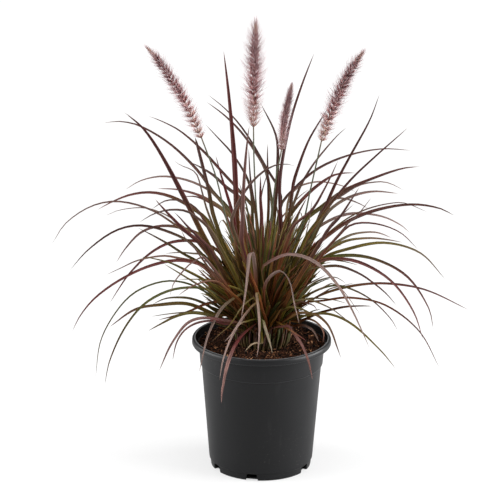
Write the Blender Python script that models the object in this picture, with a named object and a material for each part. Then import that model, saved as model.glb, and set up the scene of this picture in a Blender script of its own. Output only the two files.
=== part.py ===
"""Potted fountain grass: a round nursery pot, its potting mix, the plant's crown, and the flower stems,
plumes and leaves that grow from the crown. Metres, +Z up, origin at the middle of the pot's underside."""

import math

import bmesh
import bpy
from mathutils import Matrix, Vector

MM = 0.001
UP = Vector((0.0, 0.0, 1.0))
GAP = 0.3 * MM             # clearance between pieces that touch

# Pot
POT_SIDES = 48
POT_HEIGHT = 221.5 * MM
RIM_RADIUS = 114.7 * MM
FOOT_RADIUS = 82.7 * MM
FOOT_HEIGHT = 12.2 * MM
BAND_FOOT = 176.3 * MM     # height of the lower edge of the band under the lip
BAND_RADIUS = 100.9 * MM   # outer radius at the lower edge of that band
NECK_RADIUS = 103.0 * MM   # outer radius at the top of that band, under the lip
NECK_HEIGHT = 207.0 * MM
LIP_FOOT = 211.0 * MM      # underside of the overhanging lip
LIP_ROUNDING = 2.0 * MM
BEAD_ROUNDING = 3.4 * MM   # rounding of the lip's lower edge
LIP_THROAT = 108.2 * MM    # inner radius of the lip
LIP_SLOPE_RADIUS = 106.8 * MM      # inner radius at the foot of the lip's straight face
LIP_SLOPE_HEIGHT = 212.0 * MM
THROAT_RADIUS = 101.0 * MM         # inner radius under the lip
THROAT_HEIGHT = 206.0 * MM
BODY_RADIUS_LOW = 85.6 * MM
BODY_RADIUS_HIGH = 98.6 * MM
WALL = 2.0 * MM
FLOOR = 3.0 * MM
FOOT_ROUNDING = 1.3 * MM
NOTCH_HEIGHT = 11.4 * MM
NOTCH_WIDTH = 20.5 * MM    # width of a drain notch where the pot stands
NOTCH_TOP_WIDTH = 16.5 * MM
NOTCH_REACH = 7.5 * MM     # how far a notch runs in from the foot's edge
NOTCH_SPARE = 6.0 * MM     # how far its cutter stands out past that edge
NOTCH_BEARINGS = (-150.8, -100.4, -30.2, 29.2, 79.6, 149.8)    # degrees from +X, about the pot's axis

# Potting mix and crown
SOIL_FOOT_RADIUS = 64.0 * MM       # the mix slopes away from the drain notches, down to this radius
SOIL_EDGE_RADIUS = 105.5 * MM
SOIL_EDGE = 211.2 * MM     # height of the mix at the pot's wall
SOIL_TOP = 211.8 * MM      # height of the mix under the crown
SOIL_RINGS = ((90.0 * MM, 210.3 * MM), (68.0 * MM, 210.6 * MM))    # radius and height on the way between
SOIL_BUMP = 1.4 * MM
CROWN_SIDES = 24
CROWN_CENTRE = Vector((3.0 * MM, 0.0, SOIL_TOP + GAP))
CROWN_RADIUS = 50.0 * MM
CROWN_HEIGHT = 39.0 * MM
CROWN_OUTLINE = ((0.97, 0.0), (1.0, 0.12), (0.94, 0.42), (0.80, 0.72), (0.54, 0.92), (0.24, 0.99),
                 (0.0, 1.0))
CROWN_FLUTE = 0.035        # depth of the furrows down its side, as a share of its radius

# Where the photograph was taken from, so that a leaf's path can be read off it in picture points
PICTURE_CENTRE = 250.0
VIEW_FOCAL = 2767.3        # focal length in picture points
VIEW_DISTANCE = 4.5
VIEW_TARGET = Vector((-0.0199, 0.0, 0.371))
VIEW_PITCH = math.radians(18.0)
VIEW_ROLL = math.radians(0.32)

# Leaf blade
LEAF_STEPS = 13
LEAF_ROOT_WIDTH = 2.6 * MM
LEAF_THICKNESS = 1.1 * MM
LEAF_TAPER = 0.6           # lower is a blunter leaf
LEAF_WIDEST_AT = 0.35      # share of the way from root to tip
LATE_WIDEST_AT = 0.5       # the same of a leaf that droops over the front
LEAF_FOLD = 0.16           # how far the blade's edges stand over its midrib, as a share of its width
LEAF_FACING = 0.75         # how far a blade turns its face to the photograph's view, as a share
LEAF_TWIST = math.radians(12.0)    # the most that a blade twists from one section to the next
ROOT_RINGS = (43.0 * MM, 33.0 * MM, 22.0 * MM)
ROOT_LIFT = 1.6 * MM

STEM_RADIUS = 1.1 * MM
STEM_SIDES = 6
STEM_STEPS = 12
STEM_RING = 11.0 * MM      # the flower stems grow from a ring this wide on the crown
STEM_FIRST_BEARING = math.radians(-120.0)
STEM_BEARING_STEP = math.radians(90.0)
PLUME_SIDES = 10
PLUME_NECK_GAP = 0.08      # how far above its stem's end a plume starts, as a share of its first step
PLUME_SHAPE = (0.10, 0.62, 0.85, 0.97, 1.0, 0.95, 0.82, 0.55, 0.0)     # radius from neck to tip, as shares

# Each leaf: its widest width in mm, how far its tip lies behind the pot's axis in mm (in front is
# negative), and its midrib as picture points, from where it leaves the crowd of leaves to its tip.
LEAVES = {
    "leaf_left_01": (10.5, -70, ((222, 275), (201, 232), (180, 190), (160, 153), (143, 128.5), (124, 112))),
    "leaf_left_02": (6.3, 120, ((232, 215), (213, 192), (197, 170), (170, 144), (140, 126), (120, 121.5),
                                (103, 123))),
    "leaf_left_03": (6.6, 170, ((256, 215), (240, 192), (222, 172), (203, 151), (180, 131), (160, 120.5),
                                (148, 116))),
    "leaf_left_04": (7.1, 60, ((213, 214), (209, 192), (203, 168), (195, 137))),
    "leaf_left_05": (5.8, 200, ((236, 228), (216, 196), (198, 184.5), (180, 178.5), (160, 176.5), (140, 181),
                                (125, 190))),
    "leaf_left_06": (7.4, 250, ((240, 232), (226, 212), (204, 197.5), (180, 190), (157, 188.5))),
    "leaf_left_07": (8.0, 80, ((210, 225), (190, 207), (170, 196.5), (150, 192.5), (130, 195), (112, 202),
                               (97, 210))),
    "leaf_left_08": (4.3, -10, ((205, 250), (178, 227), (150, 209.5), (118, 201.5), (92, 206), (66, 223),
                                (52, 244))),
    "leaf_left_09": (7.1, -165, ((214, 236), (190, 213), (173, 209.8), (155, 213.5), (139, 222.5))),
    "leaf_left_10": (5.6, -85, ((195, 247), (170, 232.5), (140, 225.5), (115, 231), (88, 250), (70, 270))),
    "leaf_left_11": (7.3, 150, ((205, 240), (188, 230), (163, 226), (142, 232), (126, 248), (116, 263))),
    "leaf_left_12": (6.0, 60, ((224, 258), (203, 243), (175, 241.5), (152, 252), (130, 273), (118, 290),
                               (110, 303))),
    "leaf_left_13": (6.2, -130, ((205, 268), (180, 260.5), (150, 266), (120, 280), (95, 298), (80, 316),
                                 (72, 332))),
    "leaf_left_14": (3.6, -60, ((200, 289), (170, 281), (139, 290), (119, 308), (101, 340), (95.5, 378))),
    "leaf_left_15": (5.2, -190, ((212, 292), (178, 288.7), (147, 302), (126, 326), (110, 360),
                                 (104.5, 386))),
    "leaf_left_16": (7.0, 20, ((217, 315), (188, 304), (160, 304.8), (135, 309.5), (109.5, 327))),
    "leaf_left_17": (6.0, -260, ((215, 319), (190, 321.5), (172, 343), (159, 371))),
    "leaf_front_01": (6.8, -160, ((245, 294), (232, 299.5), (220, 311), (208, 336), (202, 360), (199, 373))),
    "leaf_front_02": (5.6, -230, ((257, 303), (244, 316), (231, 338), (223, 360), (219.5, 381))),
    "leaf_front_03": (8.4, -290, ((255, 325), (239, 339), (228, 362), (222, 392), (221.5, 404))),
    "leaf_front_04": (6.6, -260, ((288, 326), (293, 332), (302, 345), (308, 360), (311, 372),
                                  (312.5, 380.5))),
    "leaf_front_05": (7.6, -150, ((264, 291), (270, 277), (281, 271.5), (289, 281), (294, 303),
                                  (299.5, 325))),
    "leaf_front_06": (9.5, -230, ((262, 270), (275, 259), (292, 254.3), (315, 262), (336, 283), (351.5, 309),
                                  (370, 349))),
    "leaf_middle_01": (11.2, -30, ((237, 255), (236.5, 220), (234, 160), (229, 100), (223.5, 50))),
    "leaf_middle_02": (5.5, 120, ((281, 201), (264, 164), (244, 130.5), (226, 109.5), (207, 94))),
    "leaf_middle_03": (7.9, 40, ((275, 205), (277.5, 165), (276, 136), (261, 104))),
    "leaf_right_01": (7.9, 20, ((280, 195), (282, 165), (291, 120), (302, 85), (314.4, 52.6))),
    "leaf_right_02": (7.4, 70, ((293, 187), (298.5, 167), (308.5, 141), (320, 121), (329, 107))),
    "leaf_right_03": (5.7, 110, ((280, 209), (297, 186), (320, 167.5), (350, 155), (382, 149),
                                 (412, 150.5))),
    "leaf_right_04": (6.7, -60, ((303, 246), (322, 214), (336, 183), (351.5, 154), (370, 120),
                                 (379.8, 93.5))),
    "leaf_right_05": (6.7, -120, ((305, 240), (321, 217), (350, 181), (375, 157), (400, 134.8),
                                  (408, 127.5))),
    "leaf_right_06": (9.1, 50, ((303, 224), (322, 207), (345, 190.5), (373, 178.5), (402, 168.7),
                                (420, 166.5))),
    "leaf_right_07": (6.3, -170, ((292, 229), (312, 210), (325, 188), (332, 174), (338, 160.5))),
    "leaf_right_08": (7.7, 180, ((320, 224), (331, 209), (350, 197), (373, 191.5), (398.5, 193.5))),
    "leaf_right_09": (7.6, -210, ((326, 233), (340, 217), (350, 202), (359.5, 187))),
    "leaf_right_10": (7.7, -50, ((310, 253), (330, 234), (355, 218), (385, 208), (415, 204.5), (440, 208.5),
                                 (455, 216))),
    "leaf_right_11": (6.5, 210, ((307, 239), (325, 223), (350, 213.8), (380, 216), (400, 224.7),
                                 (410, 233))),
    "leaf_right_12": (5.1, -150, ((322, 256), (338, 237), (352, 224.7), (375, 223.7), (400, 232.5),
                                  (418.5, 250))),
    "leaf_right_13": (6.2, 115, ((320, 261), (350, 248.5), (385, 242.9), (420, 253), (445, 279))),
    "leaf_right_14": (6.5, -95, ((322, 262), (350, 255.4), (380, 261), (408, 277.5), (428.5, 308),
                                 (433.5, 330))),
    "leaf_right_15": (6.8, -155, ((316, 264), (345, 259.3), (370, 267), (394, 284), (414, 313), (423, 340))),
    "leaf_right_16": (4.9, 20, ((300, 309), (320, 295.5), (350, 286.4), (385, 283.4), (425, 289.7),
                               (469, 310))),
    "leaf_right_17": (4.0, -100, ((297, 306), (325, 300.5), (350, 297.7), (385, 305), (419, 331),
                                  (440, 369))),
    "leaf_right_18": (5.0, -235, ((296, 318), (325, 313.6), (350, 323), (380, 350), (396, 369))),
    "leaf_back_01": (5.8, 270, ((286, 250), (296, 222), (300, 212), (303, 222))),
    "leaf_back_02": (6.2, 300, ((268, 250), (273, 215), (276, 206), (279, 222))),
    "leaf_back_03": (6.2, 300, ((254, 250), (249, 216), (245, 207), (241, 224))),
    "leaf_back_04": (6.2, 260, ((238, 255), (228, 228), (222, 220), (217, 232))),
}

# Each flower: how far its tip lies behind the pot's axis in mm, its stem and its plume as picture points,
# and the plume's radius in mm out to the ends of its bristles.
FLOWERS = {
    "left": (60, ((228, 225), (216, 177), (205, 147), (201.5, 138)),
             ((185, 102), (159.4, 62), (142, 42)), 16.5),
    "middle": (20, ((257, 215), (254, 160), (253.5, 127)),
               ((253.8, 90), (254.5, 55), (256, 16)), 20.5),
    "small": (-50, ((272, 215), (276.5, 175), (281.5, 150)),
              ((284.5, 120), (288.5, 100), (292.8, 79)), 9.5),
    "right": (-75, ((300, 232), (311, 187), (321.5, 141)),
              ((331, 113), (347, 77), (367, 46)), 17.5),
}


def clear_scene():
    for thing in list(bpy.data.objects):
        bpy.data.objects.remove(thing, do_unlink=True)


def make_material(name, colour, roughness):
    material = bpy.data.materials.new(name)
    material.use_nodes = True
    shader = material.node_tree.nodes["Principled BSDF"]
    shader.inputs["Base Color"].default_value = (*colour, 1.0)
    shader.inputs["Roughness"].default_value = roughness
    shader.inputs["Metallic"].default_value = 0.0
    return material


def skin(name, rings, material, smooth_angle=40.0):
    """A closed body over a row of rings. A ring of one point closes an end to a tip; others are capped."""
    mesh = bmesh.new()
    rows = [[mesh.verts.new(point) for point in ring] for ring in rings]
    for low, high in zip(rows, rows[1:]):
        count = max(len(low), len(high))
        for k in range(count):
            after = (k + 1) % count
            if len(low) == 1:
                mesh.faces.new((low[0], high[after], high[k]))
            elif len(high) == 1:
                mesh.faces.new((low[k], low[after], high[0]))
            else:
                mesh.faces.new((low[k], low[after], high[after], high[k]))
    for end in (rows[0], rows[-1]):
        if len(end) > 1:
            mesh.faces.new(end)
    bmesh.ops.recalc_face_normals(mesh, faces=mesh.faces)
    data = bpy.data.meshes.new(name)
    mesh.to_mesh(data)
    mesh.free()
    data.shade_smooth()
    data.set_sharp_from_angle(angle=math.radians(smooth_angle))
    data.materials.append(material)
    body = bpy.data.objects.new(name, data)
    bpy.context.scene.collection.objects.link(body)
    return body


def circle(radius, height, sides, centre=Vector((0.0, 0.0, 0.0))):
    if radius == 0.0:
        return [centre + UP * height]
    turns = [2.0 * math.pi * k / sides for k in range(sides)]
    return [centre + Vector((radius * math.cos(a), radius * math.sin(a), height)) for a in turns]


def smooth_path(points, count, start=None):
    """count + 1 evenly spaced points on a smooth curve through the given ones."""
    knots = [0.0]
    for before, after in zip(points, points[1:]):
        knots.append(knots[-1] + (after - before).length)
    slopes = []
    for k in range(len(points)):
        low, high = max(k - 1, 0), min(k + 1, len(points) - 1)
        slopes.append((points[high] - points[low]) / (knots[high] - knots[low]))
    if start is not None:
        slopes[0] = start
    fine = []
    samples = 16
    for k in range(len(points) - 1):
        span = knots[k + 1] - knots[k]
        for step in range(samples):
            s = step / samples
            fine.append((2 * s**3 - 3 * s**2 + 1) * points[k] + (s**3 - 2 * s**2 + s) * span * slopes[k]
                        + (3 * s**2 - 2 * s**3) * points[k + 1] + (s**3 - s**2) * span * slopes[k + 1])
    fine.append(points[-1])
    return even_path(fine, count)


def even_path(points, count):
    lengths = [0.0]
    for before, after in zip(points, points[1:]):
        lengths.append(lengths[-1] + (after - before).length)
    path = []
    k = 0
    for step in range(count + 1):
        goal = lengths[-1] * step / count
        while k < len(points) - 2 and lengths[k + 1] < goal:
            k += 1
        share = (goal - lengths[k]) / (lengths[k + 1] - lengths[k])
        path.append(points[k].lerp(points[k + 1], min(share, 1.0)))
    return path


def view_axes():
    forward = Vector((0.0, math.cos(VIEW_PITCH), -math.sin(VIEW_PITCH)))
    level_up = Vector((0.0, math.sin(VIEW_PITCH), math.cos(VIEW_PITCH)))
    level_right = Vector((1.0, 0.0, 0.0))
    right = level_right * math.cos(VIEW_ROLL) + level_up * math.sin(VIEW_ROLL)
    above = level_up * math.cos(VIEW_ROLL) - level_right * math.sin(VIEW_ROLL)
    return right, above, forward


def from_picture(point, depth):
    """The place that shows at a picture point and lies depth behind the pot's axis."""
    right, above, forward = view_axes()
    eye = VIEW_TARGET - forward * VIEW_DISTANCE
    ray = forward + right * ((point[0] - PICTURE_CENTRE) / VIEW_FOCAL)
    ray += above * ((PICTURE_CENTRE - point[1]) / VIEW_FOCAL)
    return eye + ray * ((depth - eye.y) / ray.y)


def to_picture(place):
    right, above, forward = view_axes()
    arm = place - (VIEW_TARGET - forward * VIEW_DISTANCE)
    scale = VIEW_FOCAL / arm.dot(forward)
    return Vector((PICTURE_CENTRE + arm.dot(right) * scale, PICTURE_CENTRE - arm.dot(above) * scale))


def lifted_path(root, points, tip_depth):
    """The picture path as places in space: its depth runs evenly from the root's to the tip's."""
    flat = [to_picture(root)] + [Vector(point) for point in points]
    travelled = [0.0]
    for before, after in zip(flat, flat[1:]):
        travelled.append(travelled[-1] + (after - before).length)
    places = [root]
    for point, distance in zip(flat[1:], travelled[1:]):
        share = distance / travelled[-1]
        places.append(from_picture(point, root.y + (tip_depth - root.y) * share))
    return places


def crown_profile():
    """Radius and height of the crown's outline, from its foot to its top."""
    return [(CROWN_RADIUS * r, CROWN_HEIGHT * z) for r, z in CROWN_OUTLINE]


def crown_surface(radius):
    """Height of the crown's top over the mix at a radius."""
    outline = crown_profile()
    for (r_low, z_low), (r_high, z_high) in zip(outline[1:], outline[2:]):
        if r_high <= radius <= r_low:
            return z_low + (z_high - z_low) * (r_low - radius) / (r_low - r_high)
    return CROWN_HEIGHT


def crown_place(bearing, radius):
    height = crown_surface(radius) + ROOT_LIFT
    return CROWN_CENTRE + Vector((radius * math.cos(bearing), radius * math.sin(bearing), height))


def root_places(leaves):
    """Roots stand on the crown in three rings, in the order in which the leaves' tips lie round the pot."""
    def bearing(name):
        depth, points = leaves[name][1], leaves[name][2]
        tip = from_picture(points[-1], depth * MM)
        return math.atan2(tip.y, tip.x)

    order = sorted(leaves, key=bearing)
    places = {}
    for k, name in enumerate(order):
        turn = -math.pi + 2.0 * math.pi * (k + 0.5) / len(order)
        places[name] = crown_place(turn, ROOT_RINGS[k % len(ROOT_RINGS)])
    return places


def blade_width(widest, share, widest_at):
    """Blade width at a share of the way from root to tip."""
    rise = min(share / widest_at, 1.0)
    rise = rise * rise * (3.0 - 2.0 * rise)
    swell = LEAF_ROOT_WIDTH + (widest - LEAF_ROOT_WIDTH) * rise
    return swell * (1.0 - share ** 2.0) ** LEAF_TAPER


def facing_turns(faces, alongs):
    """How far each section of a blade would turn about its length to face the view squarely."""
    forward = view_axes()[2]
    turns = []
    for face, along in zip(faces, alongs):
        turn = math.atan2(along.cross(face).dot(forward), face.dot(forward))
        if turns:
            turn += math.pi * round((turns[-1] - turn) / math.pi)
        turns.append(turn)
    shift = math.pi * round(turns[len(turns) // 2] / math.pi)
    return [turn - shift for turn in turns]


def leaf_rings(path, widest, widest_at):
    """Thin folded sections along a blade, its upper face inwards and up, turned towards the view."""
    outward = Vector((path[-1].x - path[0].x, path[-1].y - path[0].y, 0.0)).normalized()
    level_side = outward.cross(UP)
    last = len(path) - 1
    alongs = [(path[k + 1] - path[max(k - 1, 0)]).normalized() for k in range(last)]
    faces = [level_side.cross(along).normalized() for along in alongs]
    turns = facing_turns(faces, alongs)
    turn = 0.0
    rings = []
    for k, (along, face) in enumerate(zip(alongs, faces)):
        goal = LEAF_FACING * turns[k] * min(4.0 * k / last, 1.0)
        turn += max(-LEAF_TWIST, min(LEAF_TWIST, goal - turn))
        face = Matrix.Rotation(turn, 3, along) @ face
        side = along.cross(face)
        width = blade_width(widest, k / last, widest_at)
        thick = LEAF_THICKNESS * (1.0 - 0.5 * k / last)
        edge = side * (width / 2.0) + face * (width * LEAF_FOLD)
        other_edge = edge - side * width
        rings.append([path[k] + edge, path[k] + face * (thick / 2.0), path[k] + other_edge,
                      path[k] - face * (thick / 2.0)])
    rings.append([path[-1]])
    return rings


def tube_rings(path, radii, sides):
    rings = []
    for k, place in enumerate(path):
        along = (path[min(k + 1, len(path) - 1)] - path[max(k - 1, 0)]).normalized()
        side = along.cross(Vector((0.0, 1.0, 0.0))).normalized()
        front = side.cross(along)
        if radii[k] == 0.0:
            rings.append([place])
            continue
        turns = [2.0 * math.pi * j / sides for j in range(sides)]
        rings.append([place + (side * math.cos(a) + front * math.sin(a)) * radii[k] for a in turns])
    return rings


def inner_wall():
    """Radius and height down the pot's inner face, from the throat under the lip to the floor's edge."""
    return [(THROAT_RADIUS, THROAT_HEIGHT),
            (BODY_RADIUS_HIGH - WALL, BAND_FOOT),
            (BODY_RADIUS_LOW - WALL, FOOT_HEIGHT + 1.6 * MM),
            (FOOT_RADIUS - 0.6 * MM, FOOT_HEIGHT),
            (FOOT_RADIUS - 2.4 * MM, FLOOR)]


def build_pot(material):
    """The turned pot, up its outside, over the lip and down its inside, with the notches cut in it."""
    outer = [(0.0, 0.0),
             (FOOT_RADIUS - FOOT_ROUNDING, 0.0),
             (FOOT_RADIUS, FOOT_ROUNDING),
             (FOOT_RADIUS + 1.2 * MM, FOOT_HEIGHT - 0.6 * MM),
             (BODY_RADIUS_LOW, FOOT_HEIGHT + 0.6 * MM),
             (BODY_RADIUS_HIGH, BAND_FOOT),
             (BAND_RADIUS, BAND_FOOT + 1.9 * MM),
             (NECK_RADIUS, NECK_HEIGHT)]
    lip = [(RIM_RADIUS - 3.1 * MM, LIP_FOOT),
           (RIM_RADIUS - 1.0 * MM, LIP_FOOT + 1.0 * MM),
           (RIM_RADIUS, LIP_FOOT + BEAD_ROUNDING),
           (RIM_RADIUS - 1.0 * MM, POT_HEIGHT - LIP_ROUNDING),
           (RIM_RADIUS - 2.7 * MM, POT_HEIGHT),
           (LIP_THROAT + 1.4 * MM, POT_HEIGHT - 0.2 * MM),
           (LIP_THROAT, POT_HEIGHT - LIP_ROUNDING),
           (LIP_SLOPE_RADIUS, LIP_SLOPE_HEIGHT)]
    profile = outer + lip + inner_wall() + [(0.0, FLOOR)]
    pot = skin("pot", [circle(r, z, POT_SIDES) for r, z in profile], material)
    for k, degrees in enumerate(NOTCH_BEARINGS):
        cut_notch(pot, k, math.radians(degrees))
    return pot


def cut_notch(pot, number, bearing):
    """A drain notch through the corner between the pot's wall and its underside, narrower at its top."""
    mesh = bmesh.new()
    bmesh.ops.create_cube(mesh, size=1.0)
    depth = NOTCH_REACH + NOTCH_SPARE
    for corner in mesh.verts:
        taper = NOTCH_WIDTH - NOTCH_TOP_WIDTH
        width = NOTCH_TOP_WIDTH if corner.co.z > 0.0 else NOTCH_WIDTH + taper
        corner.co.x *= depth
        corner.co.y *= width
        corner.co.z *= 2.0 * NOTCH_HEIGHT
    middle = FOOT_RADIUS - NOTCH_REACH + depth / 2.0
    place = Matrix.Rotation(bearing, 4, "Z") @ Matrix.Translation((middle, 0.0, 0.0))
    bmesh.ops.transform(mesh, matrix=place, verts=mesh.verts)
    data = bpy.data.meshes.new(f"notch_cutter_{number}")
    mesh.to_mesh(data)
    mesh.free()
    cutter = bpy.data.objects.new(data.name, data)
    cutter.hide_render = True
    cutter.display_type = "WIRE"
    bpy.context.scene.collection.objects.link(cutter)
    cut = pot.modifiers.new(data.name, "BOOLEAN")
    cut.operation = "DIFFERENCE"
    cut.object = cutter


def build_soil(material):
    """The mix fills the pot from its floor, clear of the drain notches, to a low uneven mound."""
    foot = [(SOIL_FOOT_RADIUS, FLOOR + GAP)]
    side = [(r - GAP, z) for r, z in reversed(inner_wall()[1:3])]
    edge = [(THROAT_RADIUS - 2.0 * GAP, THROAT_HEIGHT), (SOIL_EDGE_RADIUS, SOIL_EDGE)]
    rings = [circle(0.0, FLOOR + GAP, POT_SIDES)]
    rings += [circle(r, z, POT_SIDES) for r, z in foot + side + edge]
    for radius, height in SOIL_RINGS:
        ring = circle(radius, height, POT_SIDES)
        for k, point in enumerate(ring):
            point.z += SOIL_BUMP * (0.65 * math.sin(3.7 * k + radius / MM) + 0.35 * math.sin(1.3 * k))
        rings.append(ring)
    rings.append(circle(CROWN_RADIUS + 3.0 * MM, SOIL_TOP, POT_SIDES, Vector((CROWN_CENTRE.x, 0.0, 0.0))))
    rings.append([Vector((CROWN_CENTRE.x, 0.0, SOIL_TOP))])
    return skin("potting_mix", rings, material)


def build_crown(material):
    rings = []
    for radius, height in crown_profile():
        ring = circle(radius, height, CROWN_SIDES, CROWN_CENTRE)
        for k, point in enumerate(ring):
            flute = 1.0 - CROWN_FLUTE * (k % 2)
            point.x = CROWN_CENTRE.x + (point.x - CROWN_CENTRE.x) * flute
            point.y *= flute
        rings.append(ring)
    return skin("crown", rings, material)


def build_leaves(material):
    roots = root_places(LEAVES)
    for name, (widest, tip_depth, points) in LEAVES.items():
        places = lifted_path(roots[name], points, tip_depth * MM)
        start = ((places[1] - places[0]).normalized() + UP).normalized()
        path = smooth_path(places, LEAF_STEPS, start)
        widest_at = LATE_WIDEST_AT if name.startswith("leaf_front") else LEAF_WIDEST_AT
        skin(name, leaf_rings(path, widest * MM, widest_at), material, smooth_angle=60.0)


def build_flowers(stem_material, plume_material):
    for k, (side, (tip_depth, stem, plume, plume_radius)) in enumerate(FLOWERS.items()):
        root = crown_place(STEM_FIRST_BEARING + STEM_BEARING_STEP * k, STEM_RING)
        places = lifted_path(root, stem + plume, tip_depth * MM)
        start = ((places[1] - places[0]).normalized() + UP).normalized()
        neck = len(stem)
        stem_path = smooth_path(places[:neck + 1], STEM_STEPS, start)
        skin(f"flower_stem_{side}", tube_rings(stem_path, [STEM_RADIUS] * len(stem_path), STEM_SIDES),
             stem_material)
        plume_path = smooth_path(places[neck:], len(PLUME_SHAPE) - 1)
        plume_path[0] = plume_path[0].lerp(plume_path[1], PLUME_NECK_GAP)
        radii = [plume_radius * MM * share for share in PLUME_SHAPE]
        skin(f"plume_{side}", tube_rings(plume_path, radii, PLUME_SIDES), plume_material)


def main():
    clear_scene()
    build_pot(make_material("pot_plastic", (0.055, 0.057, 0.060), 0.45))
    build_soil(make_material("potting_mix", (0.050, 0.028, 0.018), 0.95))
    build_crown(make_material("leaf_sheath", (0.150, 0.120, 0.040), 0.70))
    build_leaves(make_material("leaf_blade", (0.120, 0.050, 0.050), 0.50))
    stem_material = make_material("flower_stem", (0.220, 0.200, 0.070), 0.55)
    plume_material = make_material("plume_bristle", (0.450, 0.250, 0.250), 0.80)
    build_flowers(stem_material, plume_material)


main()
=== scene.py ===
"""Potted purple fountain grass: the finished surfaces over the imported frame. Metres, +Z up."""

import math
import random

import bpy
import numpy as np
from mathutils import Matrix, Vector, noise


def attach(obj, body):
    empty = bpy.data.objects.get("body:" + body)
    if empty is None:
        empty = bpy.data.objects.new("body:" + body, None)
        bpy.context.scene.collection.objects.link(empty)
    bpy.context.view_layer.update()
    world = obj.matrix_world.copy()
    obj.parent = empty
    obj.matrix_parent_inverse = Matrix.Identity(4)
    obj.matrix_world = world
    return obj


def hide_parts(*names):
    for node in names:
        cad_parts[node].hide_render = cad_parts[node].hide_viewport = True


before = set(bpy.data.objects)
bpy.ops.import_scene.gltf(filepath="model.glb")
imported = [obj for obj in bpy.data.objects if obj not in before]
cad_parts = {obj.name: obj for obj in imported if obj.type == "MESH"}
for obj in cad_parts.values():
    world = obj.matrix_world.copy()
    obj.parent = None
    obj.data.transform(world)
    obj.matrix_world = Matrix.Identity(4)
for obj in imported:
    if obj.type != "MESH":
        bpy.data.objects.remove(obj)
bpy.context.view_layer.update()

MM = 0.001
UP = Vector((0.0, 0.0, 1.0))

# Pot
POT_SIDES = 160
POT_HEIGHT = 221.5 * MM
RIM_RADIUS = 114.7 * MM
FOOT_RADIUS = 82.7 * MM
FOOT_HEIGHT = 12.2 * MM
BAND_FOOT = 176.3 * MM     # height of the lower edge of the band under the lip
BAND_RADIUS = 100.9 * MM
NECK_RADIUS = 103.0 * MM   # outer radius under the lip
NECK_HEIGHT = 207.0 * MM
LIP_FOOT = 211.0 * MM
LIP_THROAT = 108.2 * MM    # inner radius of the lip
LIP_SLOPE_RADIUS = 106.8 * MM    # inner radius at the foot of the lip's straight face
LIP_SLOPE_HEIGHT = 212.0 * MM
THROAT_RADIUS = 101.0 * MM       # inner radius under the lip
THROAT_HEIGHT = 206.0 * MM
BODY_RADIUS_LOW = 85.6 * MM
BODY_RADIUS_HIGH = 98.6 * MM
WALL = 2.0 * MM
FLOOR = 3.0 * MM
NOTCH_HEIGHT = 11.4 * MM
NOTCH_WIDTH = 20.5 * MM    # width of a drain notch where the pot stands
NOTCH_TOP_WIDTH = 16.5 * MM
NOTCH_REACH = 7.5 * MM     # how far a notch runs in from the foot's edge
NOTCH_SPARE = 6.0 * MM     # how far its cutter stands out past that edge
NOTCH_ROUNDING = 1.4 * MM
NOTCH_MARGIN = 1.0 * MM    # how far it starts under the pot
NOTCH_BEARINGS = (-150.8, -100.4, -30.2, 29.2, 79.6, 149.8)    # degrees from +X, about the pot's axis

# Potting mix and crown
SOIL_FOOT_RADIUS = 64.0 * MM     # the mix slopes away from the drain notches, down to this radius
SOIL_EDGE_RADIUS = 105.5 * MM
SOIL_EDGE = 211.2 * MM
SOIL_TOP = 211.8 * MM
SOIL_GAP = 0.3 * MM
SOIL_SIDES = 220
SOIL_ROWS = 46
SOIL_GRAIN = ((1.1 * MM, 90.0), (0.9 * MM, 310.0), (0.5 * MM, 800.0))    # height and fineness of its bumps
SOIL_SETTLED = 0.6 * MM
CROWN_CENTRE = Vector((3.0 * MM, 0.0, SOIL_TOP + SOIL_GAP))
CROWN_RADIUS = 50.0 * MM
CROWN_HEIGHT = 39.0 * MM
CROWN_OUTLINE = ((1.0, 0.12), (0.94, 0.42), (0.80, 0.72), (0.54, 0.92), (0.24, 0.99), (0.0, 1.0))
CROWN_PROFILE = tuple((CROWN_RADIUS * radius, CROWN_HEIGHT * height) for radius, height in CROWN_OUTLINE)
SOIL_PROFILE = ((SOIL_EDGE_RADIUS, SOIL_EDGE), (90.0 * MM, 210.3 * MM), (68.0 * MM, 210.6 * MM),
                (CROWN_RADIUS + 3.0 * MM, SOIL_TOP), (0.0, SOIL_TOP))
BARK = {"bark_chips": (700, 1.8, 4.6, 31), "bark_crumbs": (4200, 0.7, 2.0, 32)}    # count, lengths, seed
SHOOTS = 150
SHOOT_SPREAD = 46.0 * MM
SHOOT_TURN = math.radians(137.5)     # from one shoot to the next
SHOOT_RINGS = 9
SHOOT_SIDES = 9
CROWN_SEED = 21
SHARP_ANGLE = math.radians(35.0)
BARK_SHARP_ANGLE = math.radians(30.0)

# The photograph's view, from which each leaf's path is read
PICTURE_CENTRE = 250.0
VIEW_FOCAL = 2767.3        # focal length in picture points
VIEW_DISTANCE = 4.5
VIEW_TARGET = Vector((-0.0199, 0.0, 0.371))
VIEW_PITCH = math.radians(18.0)
VIEW_ROLL = math.radians(0.32)
SENSOR_WIDTH = 36.0
PICTURE_SIZE = 500.0

# Studio
FLOOR_GLOW_NEAR = 0.59
FLOOR_GLOW_FAR = 0.93
FLOOR_GLOW_UNSEEN = 0.25   # share of the glow that lights other things
SKY_LIGHT = 0.25
FLOOR_TONE = 0.28
FLOOR_REACH = 14.0
FLOOR_LEVEL = -0.1 * MM
WHITE = (1.0, 1.0, 1.0, 1.0)
# Each soft light: its name, place, aim, width, height and power in watts
SOFT_LIGHTS = (("left_softbox", (-1.7, -0.05, 0.8), (0.0, 0.0, 0.30), 1.7, 1.8, 60.0),
               ("right_softbox", (1.7, -0.15, 0.8), (0.0, 0.0, 0.30), 1.8, 1.8, 84.0),
               ("top_softbox", (0.0, -0.2, 2.5), (0.0, 0.0, 0.2), 2.4, 2.0, 44.0))

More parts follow.
